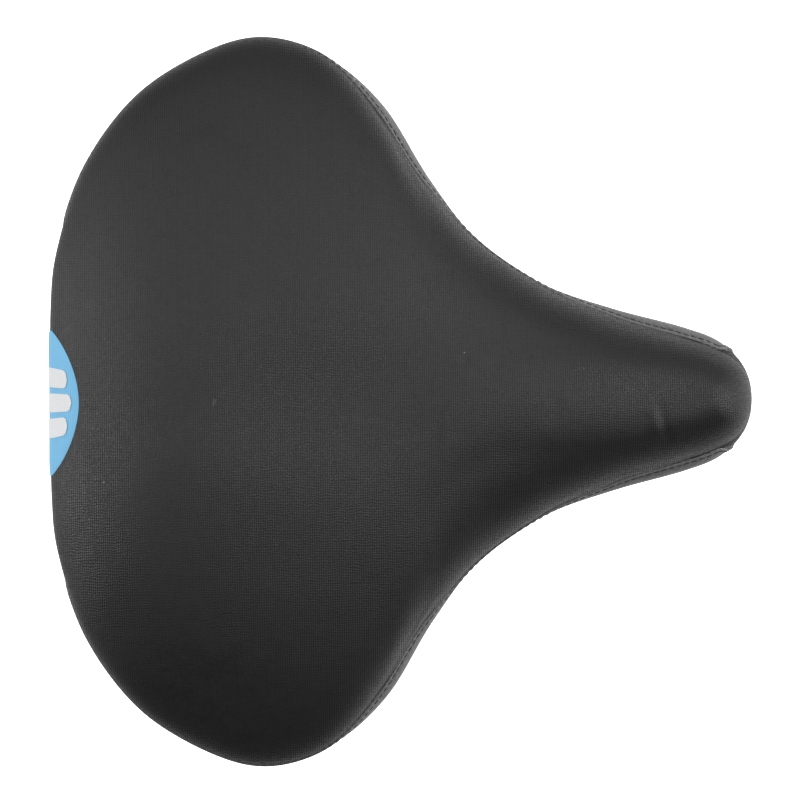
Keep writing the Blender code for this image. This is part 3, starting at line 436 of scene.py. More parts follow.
class Finish:
    """A Principled material whose nodes are built by short calls."""

    def __init__(self, name, colour, roughness, metallic=0.0, **sockets):
        self.material = bpy.data.materials.new(name)
        self.material.use_nodes = True
        self.tree = self.material.node_tree
        self.shader = self.tree.nodes["Principled BSDF"]
        sockets |= {"Base_Color": (*colour, 1.0), "Roughness": roughness, "Metallic": metallic}
        for socket, value in sockets.items():
            self.shader.inputs[socket.replace("_", " ")].default_value = value

    def node(self, kind, inputs=(), **settings):
        made = self.tree.nodes.new("ShaderNode" + kind)
        for key, value in settings.items():
            setattr(made, key, value)
        for key, value in dict(inputs).items():
            self.feed(made.inputs[key], value)
        return made

    def feed(self, socket, value):
        if isinstance(value, bpy.types.NodeSocket):
            self.tree.links.new(value, socket)
        else:
            socket.default_value = value

    def math(self, operation, *values):
        return self.node("Math", dict(enumerate(values)), operation=operation).outputs[0]

    def line(self, value, slope, start):
        return self.math("MULTIPLY_ADD", value, slope, start)

    def place(self):
        """Where the surface is, in metres, in the object's own coordinates."""
        return self.node("TexCoord").outputs["Object"]

    def noise(self, size, detail=3.0, roughness=0.55):
        """Noise whose blotches are about size metres across."""
        inputs = {"Vector": self.place(), "Scale": 1 / size, "Detail": detail, "Roughness": roughness}
        return self.node("TexNoise", inputs).outputs["Fac"]

    def cells(self, size, feature="F1", output="Distance"):
        inputs = {"Vector": self.place(), "Scale": 1 / size}
        return self.node("TexVoronoi", inputs, feature=feature).outputs[output]

    def ramp(self, value, stops):
        """A colour or a grey from a value, through stops of (position, level or colour)."""
        made = self.node("ValToRGB", {"Fac": value})
        band = made.color_ramp
        while len(band.elements) < len(stops):
            band.elements.new(0.5)
        for element, (position, level) in zip(band.elements, stops):
            element.position = position
            element.color = (*level, 1.0) if isinstance(level, tuple) else (level, level, level, 1.0)
        return made.outputs["Color"]

    def mix(self, share, first, second):
        made = self.node("Mix", data_type="RGBA")
        sockets = [s for s in made.inputs if s.enabled and s.type in ("VALUE", "RGBA")]
        for key, value in (("Factor", share), ("A", first), ("B", second)):
            socket = next(s for s in sockets if s.name == key)
            self.feed(socket, (*value, 1.0) if isinstance(value, tuple) else value)
        return next(s for s in made.outputs if s.enabled)

    def colour(self, value):
        self.feed(self.shader.inputs["Base Color"], value)

    def rough(self, value):
        self.feed(self.shader.inputs["Roughness"], value)

    def bump(self, *layers):
        """Bump from layers of (height, depth in metres), each on top of the last."""
        below = None
        for height, depth in layers:
            inputs = {"Height": height, "Distance": depth, "Strength": 1.0}
            if below:
                inputs["Normal"] = below
            below = self.node("Bump", inputs).outputs["Normal"]
        self.feed(self.shader.inputs["Normal"], below)


def knit_height(finish):
    """Height of a ribbed knit: rows of slanting loops, from the sheet's own coordinates in metres."""
    split = finish.node("SeparateXYZ", {"Vector": finish.node("UVMap", uv_map="knit").outputs["UV"]})
    wander = finish.noise(0.004, 2.0)
    shift, slip = finish.math("MULTIPLY", wander, 1.5), finish.math("MULTIPLY", wander, 14.0)
    across = finish.line(split.outputs[0], math.pi / WALE, shift)
    along = finish.line(split.outputs[1], math.tau / COURSE, slip)
    ribs = finish.math("ABSOLUTE", finish.math("SINE", across))
    loops = finish.math("SINE", finish.line(ribs, 1.6, along))
    loops = finish.line(loops, 0.2, 0.8)
    return finish.math("MULTIPLY", finish.line(ribs, 0.7, 0.3), loops)


def jersey_finish():
    finish = Finish("black_jersey", (0.005, 0.005, 0.0055), 0.52, Specular_IOR_Level=0.36)
    height = knit_height(finish)
    loops = finish.cells(0.00078, output="Color")
    blotch = finish.noise(0.0011, 4.0, 0.75)
    broad = finish.noise(0.045, 2.0)
    # Darker low in the knit's ribs and loops: painted shade in the knit's hollows. The mottling and the broad
    # tone mixed over it are the yarn's own.
    yarn_and_painted_shade = finish.ramp(height, [(0.15, (0.0012, 0.0012, 0.0014)), (0.8, (0.0085, 0.0085, 0.0095))])
    yarn_and_painted_shade = finish.mix(finish.line(blotch, 2.0, -0.7), yarn_and_painted_shade, (0.0025, 0.0025, 0.0028))
    yarn_and_painted_shade = finish.mix(finish.line(broad, 0.5, -0.1), yarn_and_painted_shade, (0.0062, 0.0062, 0.0070))
    lint = finish.cells(0.017)
    spot = finish.math("LESS_THAN", lint, 0.018)
    finish.colour(finish.mix(spot, yarn_and_painted_shade, (0.16, 0.16, 0.17)))
    gloss = finish.mix(0.5, height, finish.mix(0.5, loops, blotch))
    finish.rough(finish.ramp(gloss, [(0.28, 0.80), (0.70, 0.38)]))
    finish.bump((broad, 0.0006), (blotch, 0.00007), (height, 0.00015))
    return finish.material


def print_finish(name, colour):
    """Ink printed on the knit."""
    finish = Finish(name, colour, 0.62, Sheen_Weight=0.1, Sheen_Roughness=0.5, Specular_IOR_Level=0.35)
    height = knit_height(finish)
    worn = finish.noise(0.0012, 4.0, 0.7)
    # Darker low in the knit: painted shade in the knit's hollows under the print. The worn patches mixed over
    # it are real.
    dark = tuple(0.80 * c for c in colour)
    ink_and_painted_shade = finish.mix(finish.ramp(height, [(0.1, 0.9), (0.6, 0.0)]), colour, dark)
    bright = tuple(min(1, 1.1 * c) for c in colour)
    finish.colour(finish.mix(finish.line(worn, 0.6, -0.2), ink_and_painted_shade, bright))
    finish.bump((height, 0.00008))
    return finish.material


def vinyl_finish():
    finish = Finish("black_vinyl", (0.085, 0.085, 0.086), 0.42, Specular_IOR_Level=0.5)
    pores = finish.cells(0.0011, feature="SMOOTH_F1")
    creases = finish.cells(0.0016, feature="DISTANCE_TO_EDGE")
    broad = finish.noise(0.03, 2.0)
    # Darker along the grain's creases: painted shade in the creases. The broad tone mixed over it is the
    # vinyl's own.
    leather = finish.ramp(creases, [(0.0, (0.044, 0.044, 0.0445)), (0.12, (0.096, 0.096, 0.097))])
    finish.colour(finish.mix(finish.line(broad, 0.6, -0.1), leather, (0.076, 0.076, 0.077)))
    finish.rough(finish.ramp(finish.noise(0.006), [(0.3, 0.36), (0.7, 0.50)]))
    finish.bump((finish.ramp(creases, [(0.0, 0.0), (0.2, 1.0)]), 0.00006), (pores, 0.00005))
    return finish.material


def thread_finish():
    finish = Finish("black_thread", (0.008, 0.008, 0.0085), 0.5, Sheen_Weight=0.1)
    inputs = {"Vector": finish.place(), "Scale": 1400.0, "Distortion": 1.0}
    twist = finish.node("TexWave", inputs, bands_direction="DIAGONAL").outputs["Fac"]
    # Darker in the grooves of the twist: painted shade between the plies.
    finish.colour(finish.ramp(twist, [(0.2, (0.003, 0.003, 0.0035)), (0.8, (0.014, 0.014, 0.015))]))
    finish.bump((twist, 0.00005))
    return finish.material


def foam_finish():
    finish = Finish("grey_foam", (0.33, 0.33, 0.34), 0.95)
    cells = finish.cells(0.0009)
    # Darker in the pits round each cell's middle: painted shade in the open pores.
    finish.colour(finish.ramp(cells, [(0.1, (0.09, 0.09, 0.095)), (0.6, (0.22, 0.22, 0.23))]))
    finish.bump((cells, 0.0003))
    return finish.material


def plastic_finish():
    finish = Finish("black_polypropylene", (0.02, 0.02, 0.021), 0.5, Specular_IOR_Level=0.4)
    etch = finish.noise(0.0007, 2.0, 0.6)
    flow = finish.noise(0.02, 4.0, 0.6)
    finish.colour(finish.ramp(flow, [(0.35, (0.009, 0.009, 0.0095)), (0.7, (0.017, 0.017, 0.018))]))
    finish.rough(finish.ramp(flow, [(0.3, 0.42), (0.7, 0.62)]))
    finish.bump((etch, 0.00008))
    return finish.material


def painted_finish():
    finish = Finish("black_painted_steel", (0.014, 0.014, 0.015), 0.33, Coat_Weight=0.35, Coat_Roughness=0.18)
    peel = finish.noise(0.0028, 2.0, 0.4)
    dust = finish.noise(0.011, 5.0, 0.7)
    chips = finish.noise(0.0040, 6.0, 0.75)
    paint = finish.ramp(dust, [(0.4, (0.005, 0.005, 0.0055)), (0.75, (0.013, 0.013, 0.0135))])
    chipped = finish.ramp(chips, [(0.735, 0.0), (0.76, 1.0)])
    finish.colour(finish.mix(chipped, paint, (0.09, 0.088, 0.085)))
    finish.rough(finish.ramp(dust, [(0.3, 0.26), (0.75, 0.46)]))
    finish.bump((peel, 0.00006))
    return finish.material


def zinc_finish():
    finish = Finish("zinc_plated_steel", (0.60, 0.61, 0.63), 0.32, 1.0)
    stain = finish.noise(0.0045, 5.0, 0.65)
    grain = finish.noise(0.0006, 2.0, 0.6)
    plate = [(0.3, (0.30, 0.30, 0.31)), (0.55, (0.44, 0.45, 0.47)), (0.75, (0.42, 0.40, 0.36))]
    finish.colour(finish.ramp(stain, plate))
    finish.rough(finish.ramp(stain, [(0.3, 0.44), (0.7, 0.27)]))
    finish.bump((grain, 0.00002))
    return finish.material


JERSEY, VINYL, THREAD, FOAM = jersey_finish(), vinyl_finish(), thread_finish(), foam_finish()
PLASTIC, PAINTED, ZINC = plastic_finish(), painted_finish(), zinc_finish()
BLUE = print_finish("blue_print", (0.115, 0.33, 0.52))
WHITE = print_finish("white_print", (0.50, 0.51, 0.52))


# ---- soft pieces

# Columns between two outline points, and rows
SEAM_COLUMNS, PANEL_COLUMNS, COVER_COLUMNS, FOAM_COLUMNS = 40, 24, 10, 6
TOP_ROWS, WALL_ROWS, PANEL_ROWS, FOAM_ROWS = 26, 10, 48, 12
FOAM_WALL = (1.2, 1.4, 1.6, 1.75)
KNIT_BEND_Z, KNIT_BEND_X, KNIT_BEND_RUN = 0.036, 0.03, 0.02  # where the knit's grain turns down at the ends
CLOTH = {
    "vertex_group_mass": "pinned", "quality": 6, "mass": 0.2, "tension_stiffness": 20,
    "compression_stiffness": 20, "bending_stiffness": 0.5, "use_pressure": True, "uniform_pressure_force": 8,
}
CLOTH_FRAMES, MOST_SWELL, STILL_REAR, SWELL_RUN = 18, 0.0016, 0.012, 0.03
CREASE_SHARE, CREASE_Y, CREASE_HALF_LENGTH, CREASE_DEPTH = 0.858, -0.0085, 0.0080, 0.00034
RIDGE_OFFSET, RIDGE_WIDTH, VALLEY_OFFSET, VALLEY_WIDTH = -0.0009, 0.0022, 0.0022, 0.0019
CREASE_ABOVE, CREASE_ALONG = 0.03, (0.28, -1.0)


def spaced(start, end, per_span):
    """Values of t between two outline points, evenly spaced."""
    count = round((end - start) * per_span)
    return np.linspace(start / SPANS, end / SPANS, count + 1)


def with_knit_coordinates(obj):
    """Adds the knit's coordinates in metres: the plan, carried on by height round the rear and the nose."""
    layer = obj.data.uv_layers.new(name="knit")
    points = positions(obj)
    drop = np.maximum(FLOOR_Z + KNIT_BEND_Z - points[:, 2], 0)
    rear = smoothstep((REAR_X + KNIT_BEND_X - points[:, 0]) / KNIT_BEND_RUN)
    nose = smoothstep((points[:, 0] - (REAR_X + LENGTH - KNIT_BEND_X)) / KNIT_BEND_RUN)
    along = points[:, 0] + drop * (nose - rear)
    index = np.empty(len(obj.data.loops), int)
    obj.data.loops.foreach_get("vertex_index", index)
    layer.data.foreach_set("uv", np.stack([along, points[:, 1]], -1)[index].ravel())


def settle(obj, pinned):
    """Swells a sheet over its padding with a short cloth simulation. Pinned points and the rear stay put."""
    start = positions(obj)
    group = obj.vertex_groups.new(name="pinned")
    for index in np.nonzero(pinned)[0]:
        group.add([int(index)], 1.0, "REPLACE")
    cloth = obj.modifiers.new("cloth", "CLOTH")
    for setting, value in CLOTH.items():
        setattr(cloth.settings, setting, value)
    cloth.settings.effector_weights.gravity = 0
    cloth.collision_settings.use_collision = False
    cloth.collision_settings.use_self_collision = False
    cloth.point_cache.frame_end = CLOTH_FRAMES
    scene = bpy.context.scene
    for step in range(1, CLOTH_FRAMES + 1):
        scene.frame_set(step)
    end = positions(obj.evaluated_get(bpy.context.evaluated_depsgraph_get()))
    scene.frame_set(1)
    obj.modifiers.clear()
    obj.vertex_groups.clear()
    outward = np.array([v.normal for v in obj.data.vertices])
    swell = np.sum((end - start) * outward, axis=1)
    swell = MOST_SWELL * np.tanh(np.maximum(swell, 0) / MOST_SWELL)
    swell *= smoothstep((start[:, 0] - REAR_X - STILL_REAR) / SWELL_RUN)
    move_to(obj, start + outward * swell[:, None])


def nose_crease(points):
    """A shallow fold in the knit that runs across the nose, to the rider's right of the middle."""
    centre = np.array((REAR_X + CREASE_SHARE * LENGTH, CREASE_Y))
    along = unit(np.array(CREASE_ALONG))
    offset = points[:, :2] - centre
    length, across = offset @ along, offset @ np.array((-along[1], along[0]))
    reach = np.exp(-((length / CREASE_HALF_LENGTH) ** 4))
    ridge = np.exp(-(((across - RIDGE_OFFSET) / RIDGE_WIDTH) ** 2))
    valley = np.exp(-(((across - VALLEY_OFFSET) / VALLEY_WIDTH) ** 2))
    return reach * CREASE_DEPTH * (ridge - valley)


def thicken(obj, thickness):
    """Gives a sheet its thickness, inwards."""
    thick = obj.modifiers.new("thickness", "SOLIDIFY")
    thick.thickness = thickness
    thick.offset = -1
    apply_modifiers(obj)


def make_top_cover():
    """The knit over the whole top, down to the seams at the sides and to the hem at the rear and the nose."""
    t = spaced(0, SPANS, COVER_COLUMNS)
    below = np.arange(1, WALL_ROWS + 1) / WALL_ROWS
    rows = [skin(t, q) for q in np.sin(np.linspace(0, math.pi / 2, TOP_ROWS + 1))]
    rows += [skin(t, 1 + (seam_place(t) - 1) * share) for share in below]
    cover = both_halves("knit_top_cover", np.array(rows), JERSEY)
    edge = np.zeros(len(cover.data.vertices), bool)
    form = bmesh.new()
    form.from_mesh(cover.data)
    for vertex in form.verts:
        edge[vertex.index] = vertex.is_boundary
    form.free()
    settle(cover, edge)
    smooth = cover.modifiers.new("smooth", "SUBSURF")
    smooth.levels = smooth.render_levels = 1
    apply_modifiers(cover)
    points = positions(cover)
    points[:, 2] += nose_crease(points) * (points[:, 2] > FLOOR_Z + CREASE_ABOVE)
    move_to(cover, points)
    with_knit_coordinates(cover)
    thicken(cover, COVER_THICKNESS)
    declare(cover, "seat", "top_cover")


def pucker(t, q, seam):
    """Small dents that the stitches pull into the vinyl beside the seam, and gathers in the hem."""
    place = skin(t, seam)
    run = lengths_along(place[0])
    wave = np.cos(math.tau * run / STITCH_PITCH)
    near = np.exp(-(((q - seam) / DENT_REACH) ** 2))
    hem = smoothstep((q - GATHER_FROM) / 0.2)
    gather = np.sin(run * math.tau / GATHER_PITCH + 1.5 * np.sin(run * 95))
    return -DENT_DEPTH * near * wave - GATHER_DEPTH * hem * gather


def make_side_panel(word, side):
    """The vinyl wall between the seam and the hem under the base."""
    t = spaced(*PANEL_SPAN, PANEL_COLUMNS)
    shares = np.linspace(0, 1, PANEL_ROWS + 1)
    seam = seam_place(t)[None]
    q = seam + (3 - seam) * shares[:, None]
    tt = np.broadcast_to(t, q.shape)
    proud = pucker(tt, q, np.broadcast_to(seam, q.shape)) - PANEL_SINK
    points = (skin(tt, q) + normal(tt, q) * proud[..., None]) * (1, side, 1)
    panel = new_object(f"vinyl_side_panel_{word}", points, grid_faces(*q.shape, flip=side < 0), VINYL)
    thicken(panel, PANEL_THICKNESS)
    declare(panel, "seat", f"side_panel_{word}")


def seam_frame(side):
    """The seam's line on one side, evenly spaced: points, along, up, towards the panel, and how far along."""
    t = spaced(*SEAM_SPAN, SEAM_COLUMNS)
    line = skin(t, seam_place(t))
    length = lengths_along(line)
    even = np.arange(0, length[-1], STITCH_PITCH / STEPS_PER_STITCH)
    t = np.interp(even, length, t)
    line = skin(t, seam_place(t))
    up = normal(t, np.maximum(seam_place(t), 1.02))
    flip = np.array((1, side, 1))
    line, up = line * flip, up * flip
    along = unit(np.gradient(line, axis=0))
    up = unit(up - along * np.sum(up * along, axis=1, keepdims=True))
    aside = np.cross(up, along) * side
    return line, along, up, -aside, even


def make_seam(word, side):
    """The folded edge between the knit and the vinyl, with a row of stitches on each side of its ridge."""
    line, along, up, aside, run = seam_frame(side)
    wave = 0.5 + 0.5 * np.cos(math.tau * run / STITCH_PITCH)
    section = np.array(SEAM_PROFILE)
    proud = np.broadcast_to(section[:, 1], (len(line), len(section))).copy()
    puff = np.exp(-(((section[:, 0] - GROOVE_PLACE) / GROOVE_HALF_WIDTH) ** 2))
    proud += GROOVE_WAVE * (wave[:, None] - 0.5) * puff
    points = line[:, None] + aside[:, None] * section[None, :, 0, None] + up[:, None] * proud[..., None]
    rows, columns = points.shape[:2]
    faces = grid_faces(rows, columns, wrap_columns=True, flip=side > 0)
    faces += end_faces(rows, columns, flip=side < 0)
    band = new_object(f"seam_band_{word}", points, faces, VINYL)
    declare(band, "seat")
    for row, offset in zip(("knit", "vinyl"), STITCH_ROWS):
        stitches = make_stitches(f"stitches_{row}_{word}", line, along, up, aside, offset)
        declare(stitches, "seat")


def make_stitches(name, line, along, up, aside, offset):
    """Short threads that rise from the leather, lie along it and dive back in."""
    count = (len(line) - 1) // STEPS_PER_STITCH
    shares = np.linspace(-0.5, 0.5, 9)
    lift = STITCH_RISE * np.sqrt(np.clip(1 - (2 * shares) ** 4, 0, 1)) - STITCH_SINK
    angles = round_angles(8)
    points, faces = [], []
    for k in range(count):
        i = k * STEPS_PER_STITCH + STEPS_PER_STITCH // 2
        centre = line[i] + aside[i] * offset
        run = shares[:, None] * STITCH_LENGTH * along[i]
        spine = centre + run + lift[:, None] * up[i] + STITCH_WANDER * RNG.uniform(-1, 1) * aside[i]
        start = len(points) * len(shares) * len(angles)
        ring = np.cos(angles)[:, None] * aside[i] + np.sin(angles)[:, None] * up[i]
        swell = THREAD_RADIUS * (0.75 + 0.25 * np.cos(math.pi * shares))
        points.append(spine[:, None] + ring[None] * swell[:, None, None])
        faces += grid_faces(len(shares), len(angles), start, wrap_columns=True)
        faces += end_faces(len(shares), len(angles), start)
    return new_object(name, np.array(points), faces, THREAD)


def make_foam():
    """The padding inside the covers, down to the base."""
    t = spaced(0, SPANS, FOAM_COLUMNS)
    clear = COVER_THICKNESS + FOAM_CLEAR
    top = np.sin(np.linspace(0, math.pi / 2, FOAM_ROWS + 1))
    rows = [skin(t, q) - normal(t, q) * clear for q in (*top, *FOAM_WALL)]
    lift = BASE_THICKNESS + FOAM_LIFT
    edge = base_point(t, 0 * t, lift)
    share = 2 - (edge[:, 2] - skin(t, 2)[:, 2]) / (skin(t, 1)[:, 2] - skin(t, 2)[:, 2])
    outward = normal(t, share)
    outward[:, 2] = 0
    foot = skin(t, share) - outward * (clear / np.sum(outward**2, axis=1, keepdims=True))
    foot[:, 2] = edge[:, 2]
    rows.append(foot)
    reach, hem = base_reach(t), hem_width(t)
    ramp = np.minimum(BASE_RAMP, RAMP_MOST_SHARE * reach)
    inner = (hem, hem + ramp / 3, hem + 2 * ramp / 3, hem + ramp, (hem + ramp + reach) / 2, reach)
    grid = np.array(rows + [base_point(t, distance, lift) for distance in inner])
    grid[:, [0, -1], 1] = 0
    grid[[0, -1], :, 1] = 0
    foam = both_halves("foam_core", grid, FOAM)
    declare(foam, "seat", "foam_pad")


# ---- printed badge

BADGE_HALF_WIDTH, BADGE_HALF_HEIGHT = 0.0273, 0.0175
BADGE_RINGS, BADGE_SPOKES = 14, 96
BADGE_SWELL, BADGE_LIFT, BAR_LIFT = 0.00045, 0.0001, 0.00075
BAR_HALF_WIDTH = 0.0036
BARS = [(-0.0095, 0.0125), (0.0, 0.0145), (0.0095, 0.0125)]  # across from the middle, and half height


def badge_place(across, down, lift):
    """Points on the rear of the knit, across from the centre and down from the shoulder along the skin."""
    q = np.linspace(0.6, 1.9, 400)
    profile = skin(np.zeros_like(q), q)
    run = lengths_along(profile)
    shoulder = np.interp(1.0, q, run)
    q = np.interp(shoulder + down, run, q)
    t = np.abs(across) / (CONTROLS[3, 1] * SPANS)
    flip = np.stack([np.ones_like(across), np.where(across < 0, -1.0, 1.0), np.ones_like(across)], -1)
    lift = np.broadcast_to(lift, q.shape)[..., None]
    return (skin(t, q) + normal(t, q) * lift) * flip


def make_badge():
    """A plain blue oval with three white bars, printed where the knit wraps over the rear."""
    share = np.linspace(0.0, 1.0, BADGE_RINGS + 1)[:, None]
    angle = round_angles(BADGE_SPOKES)[None]
    across = BADGE_HALF_WIDTH * share * np.sin(angle)
    down = BADGE_HALF_HEIGHT * share * np.cos(angle)
    upper = badge_place(across, down, BADGE_SWELL * (1 - share**12) + BADGE_LIFT)
    faces = grid_faces(BADGE_RINGS + 1, BADGE_SPOKES, wrap_columns=True, flip=True)
    oval = clean(new_object("blue_oval_print", upper, faces, BLUE))
    with_knit_coordinates(oval)
    declare(oval, "seat", "rear_badge")
    bars = []
    for middle, tall in BARS:
        x = np.linspace(middle - BAR_HALF_WIDTH, middle + BAR_HALF_WIDTH, 9)[None]
        y = np.linspace(-tall, tall, 41)[:, None]
        corner = np.clip((np.abs(y) - (tall - BAR_HALF_WIDTH)) / BAR_HALF_WIDTH, 0, 1)
        x = middle + (x - middle) * np.sqrt(np.clip(1 - corner**4, 0.02, 1))
        y = np.broadcast_to(y, x.shape)
        bars.append(new_object("bar", badge_place(x, y, BAR_LIFT), grid_faces(*x.shape, flip=True), WHITE))
    bars = join("white_bar_prints", bars)
    with_knit_coordinates(bars)
    declare(bars, "seat")


# ---- rail, springs and bridges

RAIL_RADIUS = 0.0035
RAIL_BENDS = [  # corners of the right half, each with its bend radius
    ((-0.098, -0.032, 0.0115), 0.0),
    ((-0.075, -0.022, 0.0115), 0.025),
    ((0.022, -0.022, 0.0115), 0.040),
    ((0.088, -0.020, 0.036), 0.009),
]
SPRING_RADIUS, SPRING_WIRE_RADIUS, SPRING_TURNS, SPRING_END_TURNS = 0.01775, 0.00225, 5.0, 0.9
SPRING_END_PITCH, SPRING_STEPS = 0.0051, 240
RAIL_BEVEL, SPRING_BEVEL = 0.0006, 0.0004  # at the ends
WELD_START, WELD_RUN, WELD_OFFSET = (-0.0975, 0.0317), (0.0195, -0.0085), 0.0033
WELD_RADIUS, WELD_STEPS, WELD_RIPPLES = 0.0013, 90, 13


def filleted(corners):
    """Points along straight runs joined by round bends."""
    points = [np.array(corners[0][0])]
    for (before, _), (corner, radius), (after, _) in zip(corners, corners[1:], corners[2:]):
        before, corner, after = np.array(before), np.array(corner), np.array(after)
        back, on = unit(before - corner), unit(after - corner)
        half = math.acos(float(back @ on)) / 2
        centre = corner + unit(back + on) * radius / math.sin(half)
        start, end = corner + back * radius / math.tan(half), corner + on * radius / math.tan(half)
        first, last = start - centre, end - centre
        turn = math.acos(float(unit(first) @ unit(last)))
        for share in np.linspace(0, 1, 17):
            arm = math.sin((1 - share) * turn) * first + math.sin(share * turn) * last
            points.append(centre + arm / math.sin(turn))
    points.append(np.array(corners[-1][0]))
    return np.array(points)


def rail_path():
    left = [((x, -y, z), radius) for (x, y, z), radius in reversed(RAIL_BENDS)]
    points = filleted(RAIL_BENDS + left)
    run = lengths_along(points)
    even = np.union1d(run, np.arange(0, run[-1], 0.004))
    return np.stack([np.interp(even, run, points[:, k]) for k in range(3)], -1)


def make_wire(name, path, radius, sides, bevel):
    """A painted wire of round section with bevelled ends."""
    tangent = unit(np.gradient(path, axis=0))
    first, last = path[0], path[-1]
    inner = [first + tangent[0] * bevel, *path[1:-1], last - tangent[-1] * bevel]
    path = np.array([first, *inner, last])
    scale = np.ones(len(path))
    scale[[0, -1]] = 1 - bevel / radius
    obj = sweep(name, path, round_section(radius, sides), finish=PAINTED, scale=scale)
    crisp(obj, 30)
    return obj


def make_rail():
    rail = make_wire("bent_rail", rail_path(), RAIL_RADIUS, 32, RAIL_BEVEL)
    declare(rail, "undercarriage", "rail")


def make_spring(word):
    """A compression spring with closed ends, in the place of the CAD spring."""
    low_corner, high_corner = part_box(f"coil_spring_{word}")
    centre = (low_corner + high_corner) / 2
    low, high = low_corner.z + SPRING_WIRE_RADIUS, high_corner.z - SPRING_WIRE_RADIUS
    active = SPRING_TURNS - 2 * SPRING_END_TURNS
    pitch = (high - low - 2 * SPRING_END_TURNS * SPRING_END_PITCH) / active
    turns = np.linspace(0, SPRING_TURNS, SPRING_STEPS + 1)
    closed = np.minimum(turns, SPRING_END_TURNS) + np.maximum(turns - SPRING_END_TURNS - active, 0)
    z = low + SPRING_END_PITCH * closed + pitch * (turns - closed)
    x = centre.x + SPRING_RADIUS * np.cos(math.tau * turns)
    y = centre.y + SPRING_RADIUS * np.sin(math.tau * turns)
    path = np.stack([x, y, z], -1)
    spring = make_wire(f"wound_spring_{word}", path, SPRING_WIRE_RADIUS, 20, SPRING_BEVEL)
    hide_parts(f"coil_spring_{word}")
    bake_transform(spring)


def make_welds():
    """Two beads along each rail end, where it lies on the rear bridge."""
    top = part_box("rear_bridge")[1].z
    run = np.linspace(0, 1, WELD_STEPS)
    beads = []
    for side in (1, -1):
        for offset in (1, -1):
            x = WELD_START[0] + WELD_RUN[0] * run
            y = WELD_START[1] + WELD_RUN[1] * run + WELD_OFFSET * offset
            path = np.stack([x, side * y, np.full(WELD_STEPS, top + 0.0006)], -1)
            size = 1 + 0.16 * np.sin(run * math.tau * WELD_RIPPLES + side) + 0.08 * np.sin(run * 31)
            size *= np.clip(np.minimum(run, 1 - run) * 18, 0.35, 1)
            beads.append(sweep("bead", path, round_section(WELD_RADIUS, 12), finish=PAINTED, scale=size))
    beads = join("weld_beads", beads)
    declare(beads, "undercarriage")


# ---- fasteners

HEX_SLOPE = 0.577  # of the chamfer over a nut's corners
TURNED_STEPS = 72
SOCKET_ARC = (0.62, 0.76, 0.88, 0.96)  # shares of the head's radius
THREAD_PITCH, STUD_PITCH, STUD_RADIUS = 0.0008, 0.00125, 0.004
THREAD_SECTION = [(-0.00034, -0.00025), (0.00034, -0.00025), (0.00006, 0.00022), (-0.00006, 0.00022)]
STUD_THREAD = (0.0305, 0.0414)  # from the middle of the stud
TEETH, TOOTH_DEPTH, WASHER_HOLE = 40, 0.00045, 0.0044
NUTS = [  # name, CAD node, (across the flats, thickness, hole), axis, body
    ("chamfered_spring_nut", "lower_spring_nut", (0.010, 0.005, 0.0031), "Z", "undercarriage"),
    ("chamfered_clamp_nut", "clamp_nut", (0.013, 0.0065, 0.0041), "Y", "rail_clamp"),
]
SPRING_BOLTS = (("lower", 0.0145, "-Z", "undercarriage"), ("upper", 0.0160, "Z", "seat"))
SPRING_BOLT = {"radius": 0.003, "head_radius": 0.0075, "head_height": 0.0035}
NOSE_BOLT = {"radius": 0.0025, "head_radius": 0.0045, "head_height": 0.0028}
REFINED = [  # CAD nodes that stay: finish, width of the softened edges, single nodes, left and right nodes
    (ZINC, 0.0002, ("clamp_stud", "nose_nut_plate"), ("clamp_washer", "tee_nut")),
    (PAINTED, 0.0004, ("seatpost_collar", "rear_bridge", "upper_bridge", "nose_bracket"),
     ("inner_cheek", "outer_cheek", "lower_spring_cup", "upper_spring_cup")),
    (PLASTIC, 0.0004, ("base_shell",), ()),
]


def stand_on(obj, place, axis):
    """Turns a piece made about Z onto another axis, and moves it."""
    turn = {"Z": 0, "-Z": math.pi, "Y": -math.pi / 2}[axis]
    obj.data.transform(Matrix.Translation(place) @ Matrix.Rotation(turn, 4, "X"))
    crisp(obj, 25)
    return obj


def turned(name, rows, place, axis):
    """A turned solid, some of whose rows are hexagons. Each row is a radius (half the flats for a hexagon), a
    height, how far it is a hexagon, and how much it falls or rises towards the corners."""
    angles = round_angles(TURNED_STEPS)
    corner = 1 / np.cos((angles + math.pi / 6) % (math.pi / 3) - math.pi / 6) - 1
    rows = np.array(rows, float)
    radius = rows[:, :1] * (1 + rows[:, 2:3] * corner)
    height = rows[:, 1:2] + rows[:, 3:] * (radius - rows[:, :1])
    points = np.stack([radius * np.cos(angles), radius * np.sin(angles), height], -1)
    ring = rows[0, 0] > 1e-9
    faces = grid_faces(len(rows), TURNED_STEPS, wrap_rows=ring, wrap_columns=True)
    return stand_on(clean(new_object(name, points, faces, ZINC), 1e-6, outward=True), place, axis)


def nut(name, node, flats, thickness, hole, axis, body):
    """A chamfered hexagon nut in the place of a CAD nut."""
    low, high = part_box(node)
    half, apothem, lead = thickness / 2, flats / 2, 0.0005
    crown = 0.93 * apothem
    fall = (apothem - crown) * HEX_SLOPE
    upper = [(hole, half - lead, 0, 0), (hole + lead, half, 0, 0), (crown, half, 0, 0),
             (apothem, half - fall, 1, -HEX_SLOPE)]
    lower = [(radius, -height, share, -slope) for radius, height, share, slope in reversed(upper)]
    made = turned(name, upper + lower, (low + high) / 2, axis)
    declare(made, body, node)


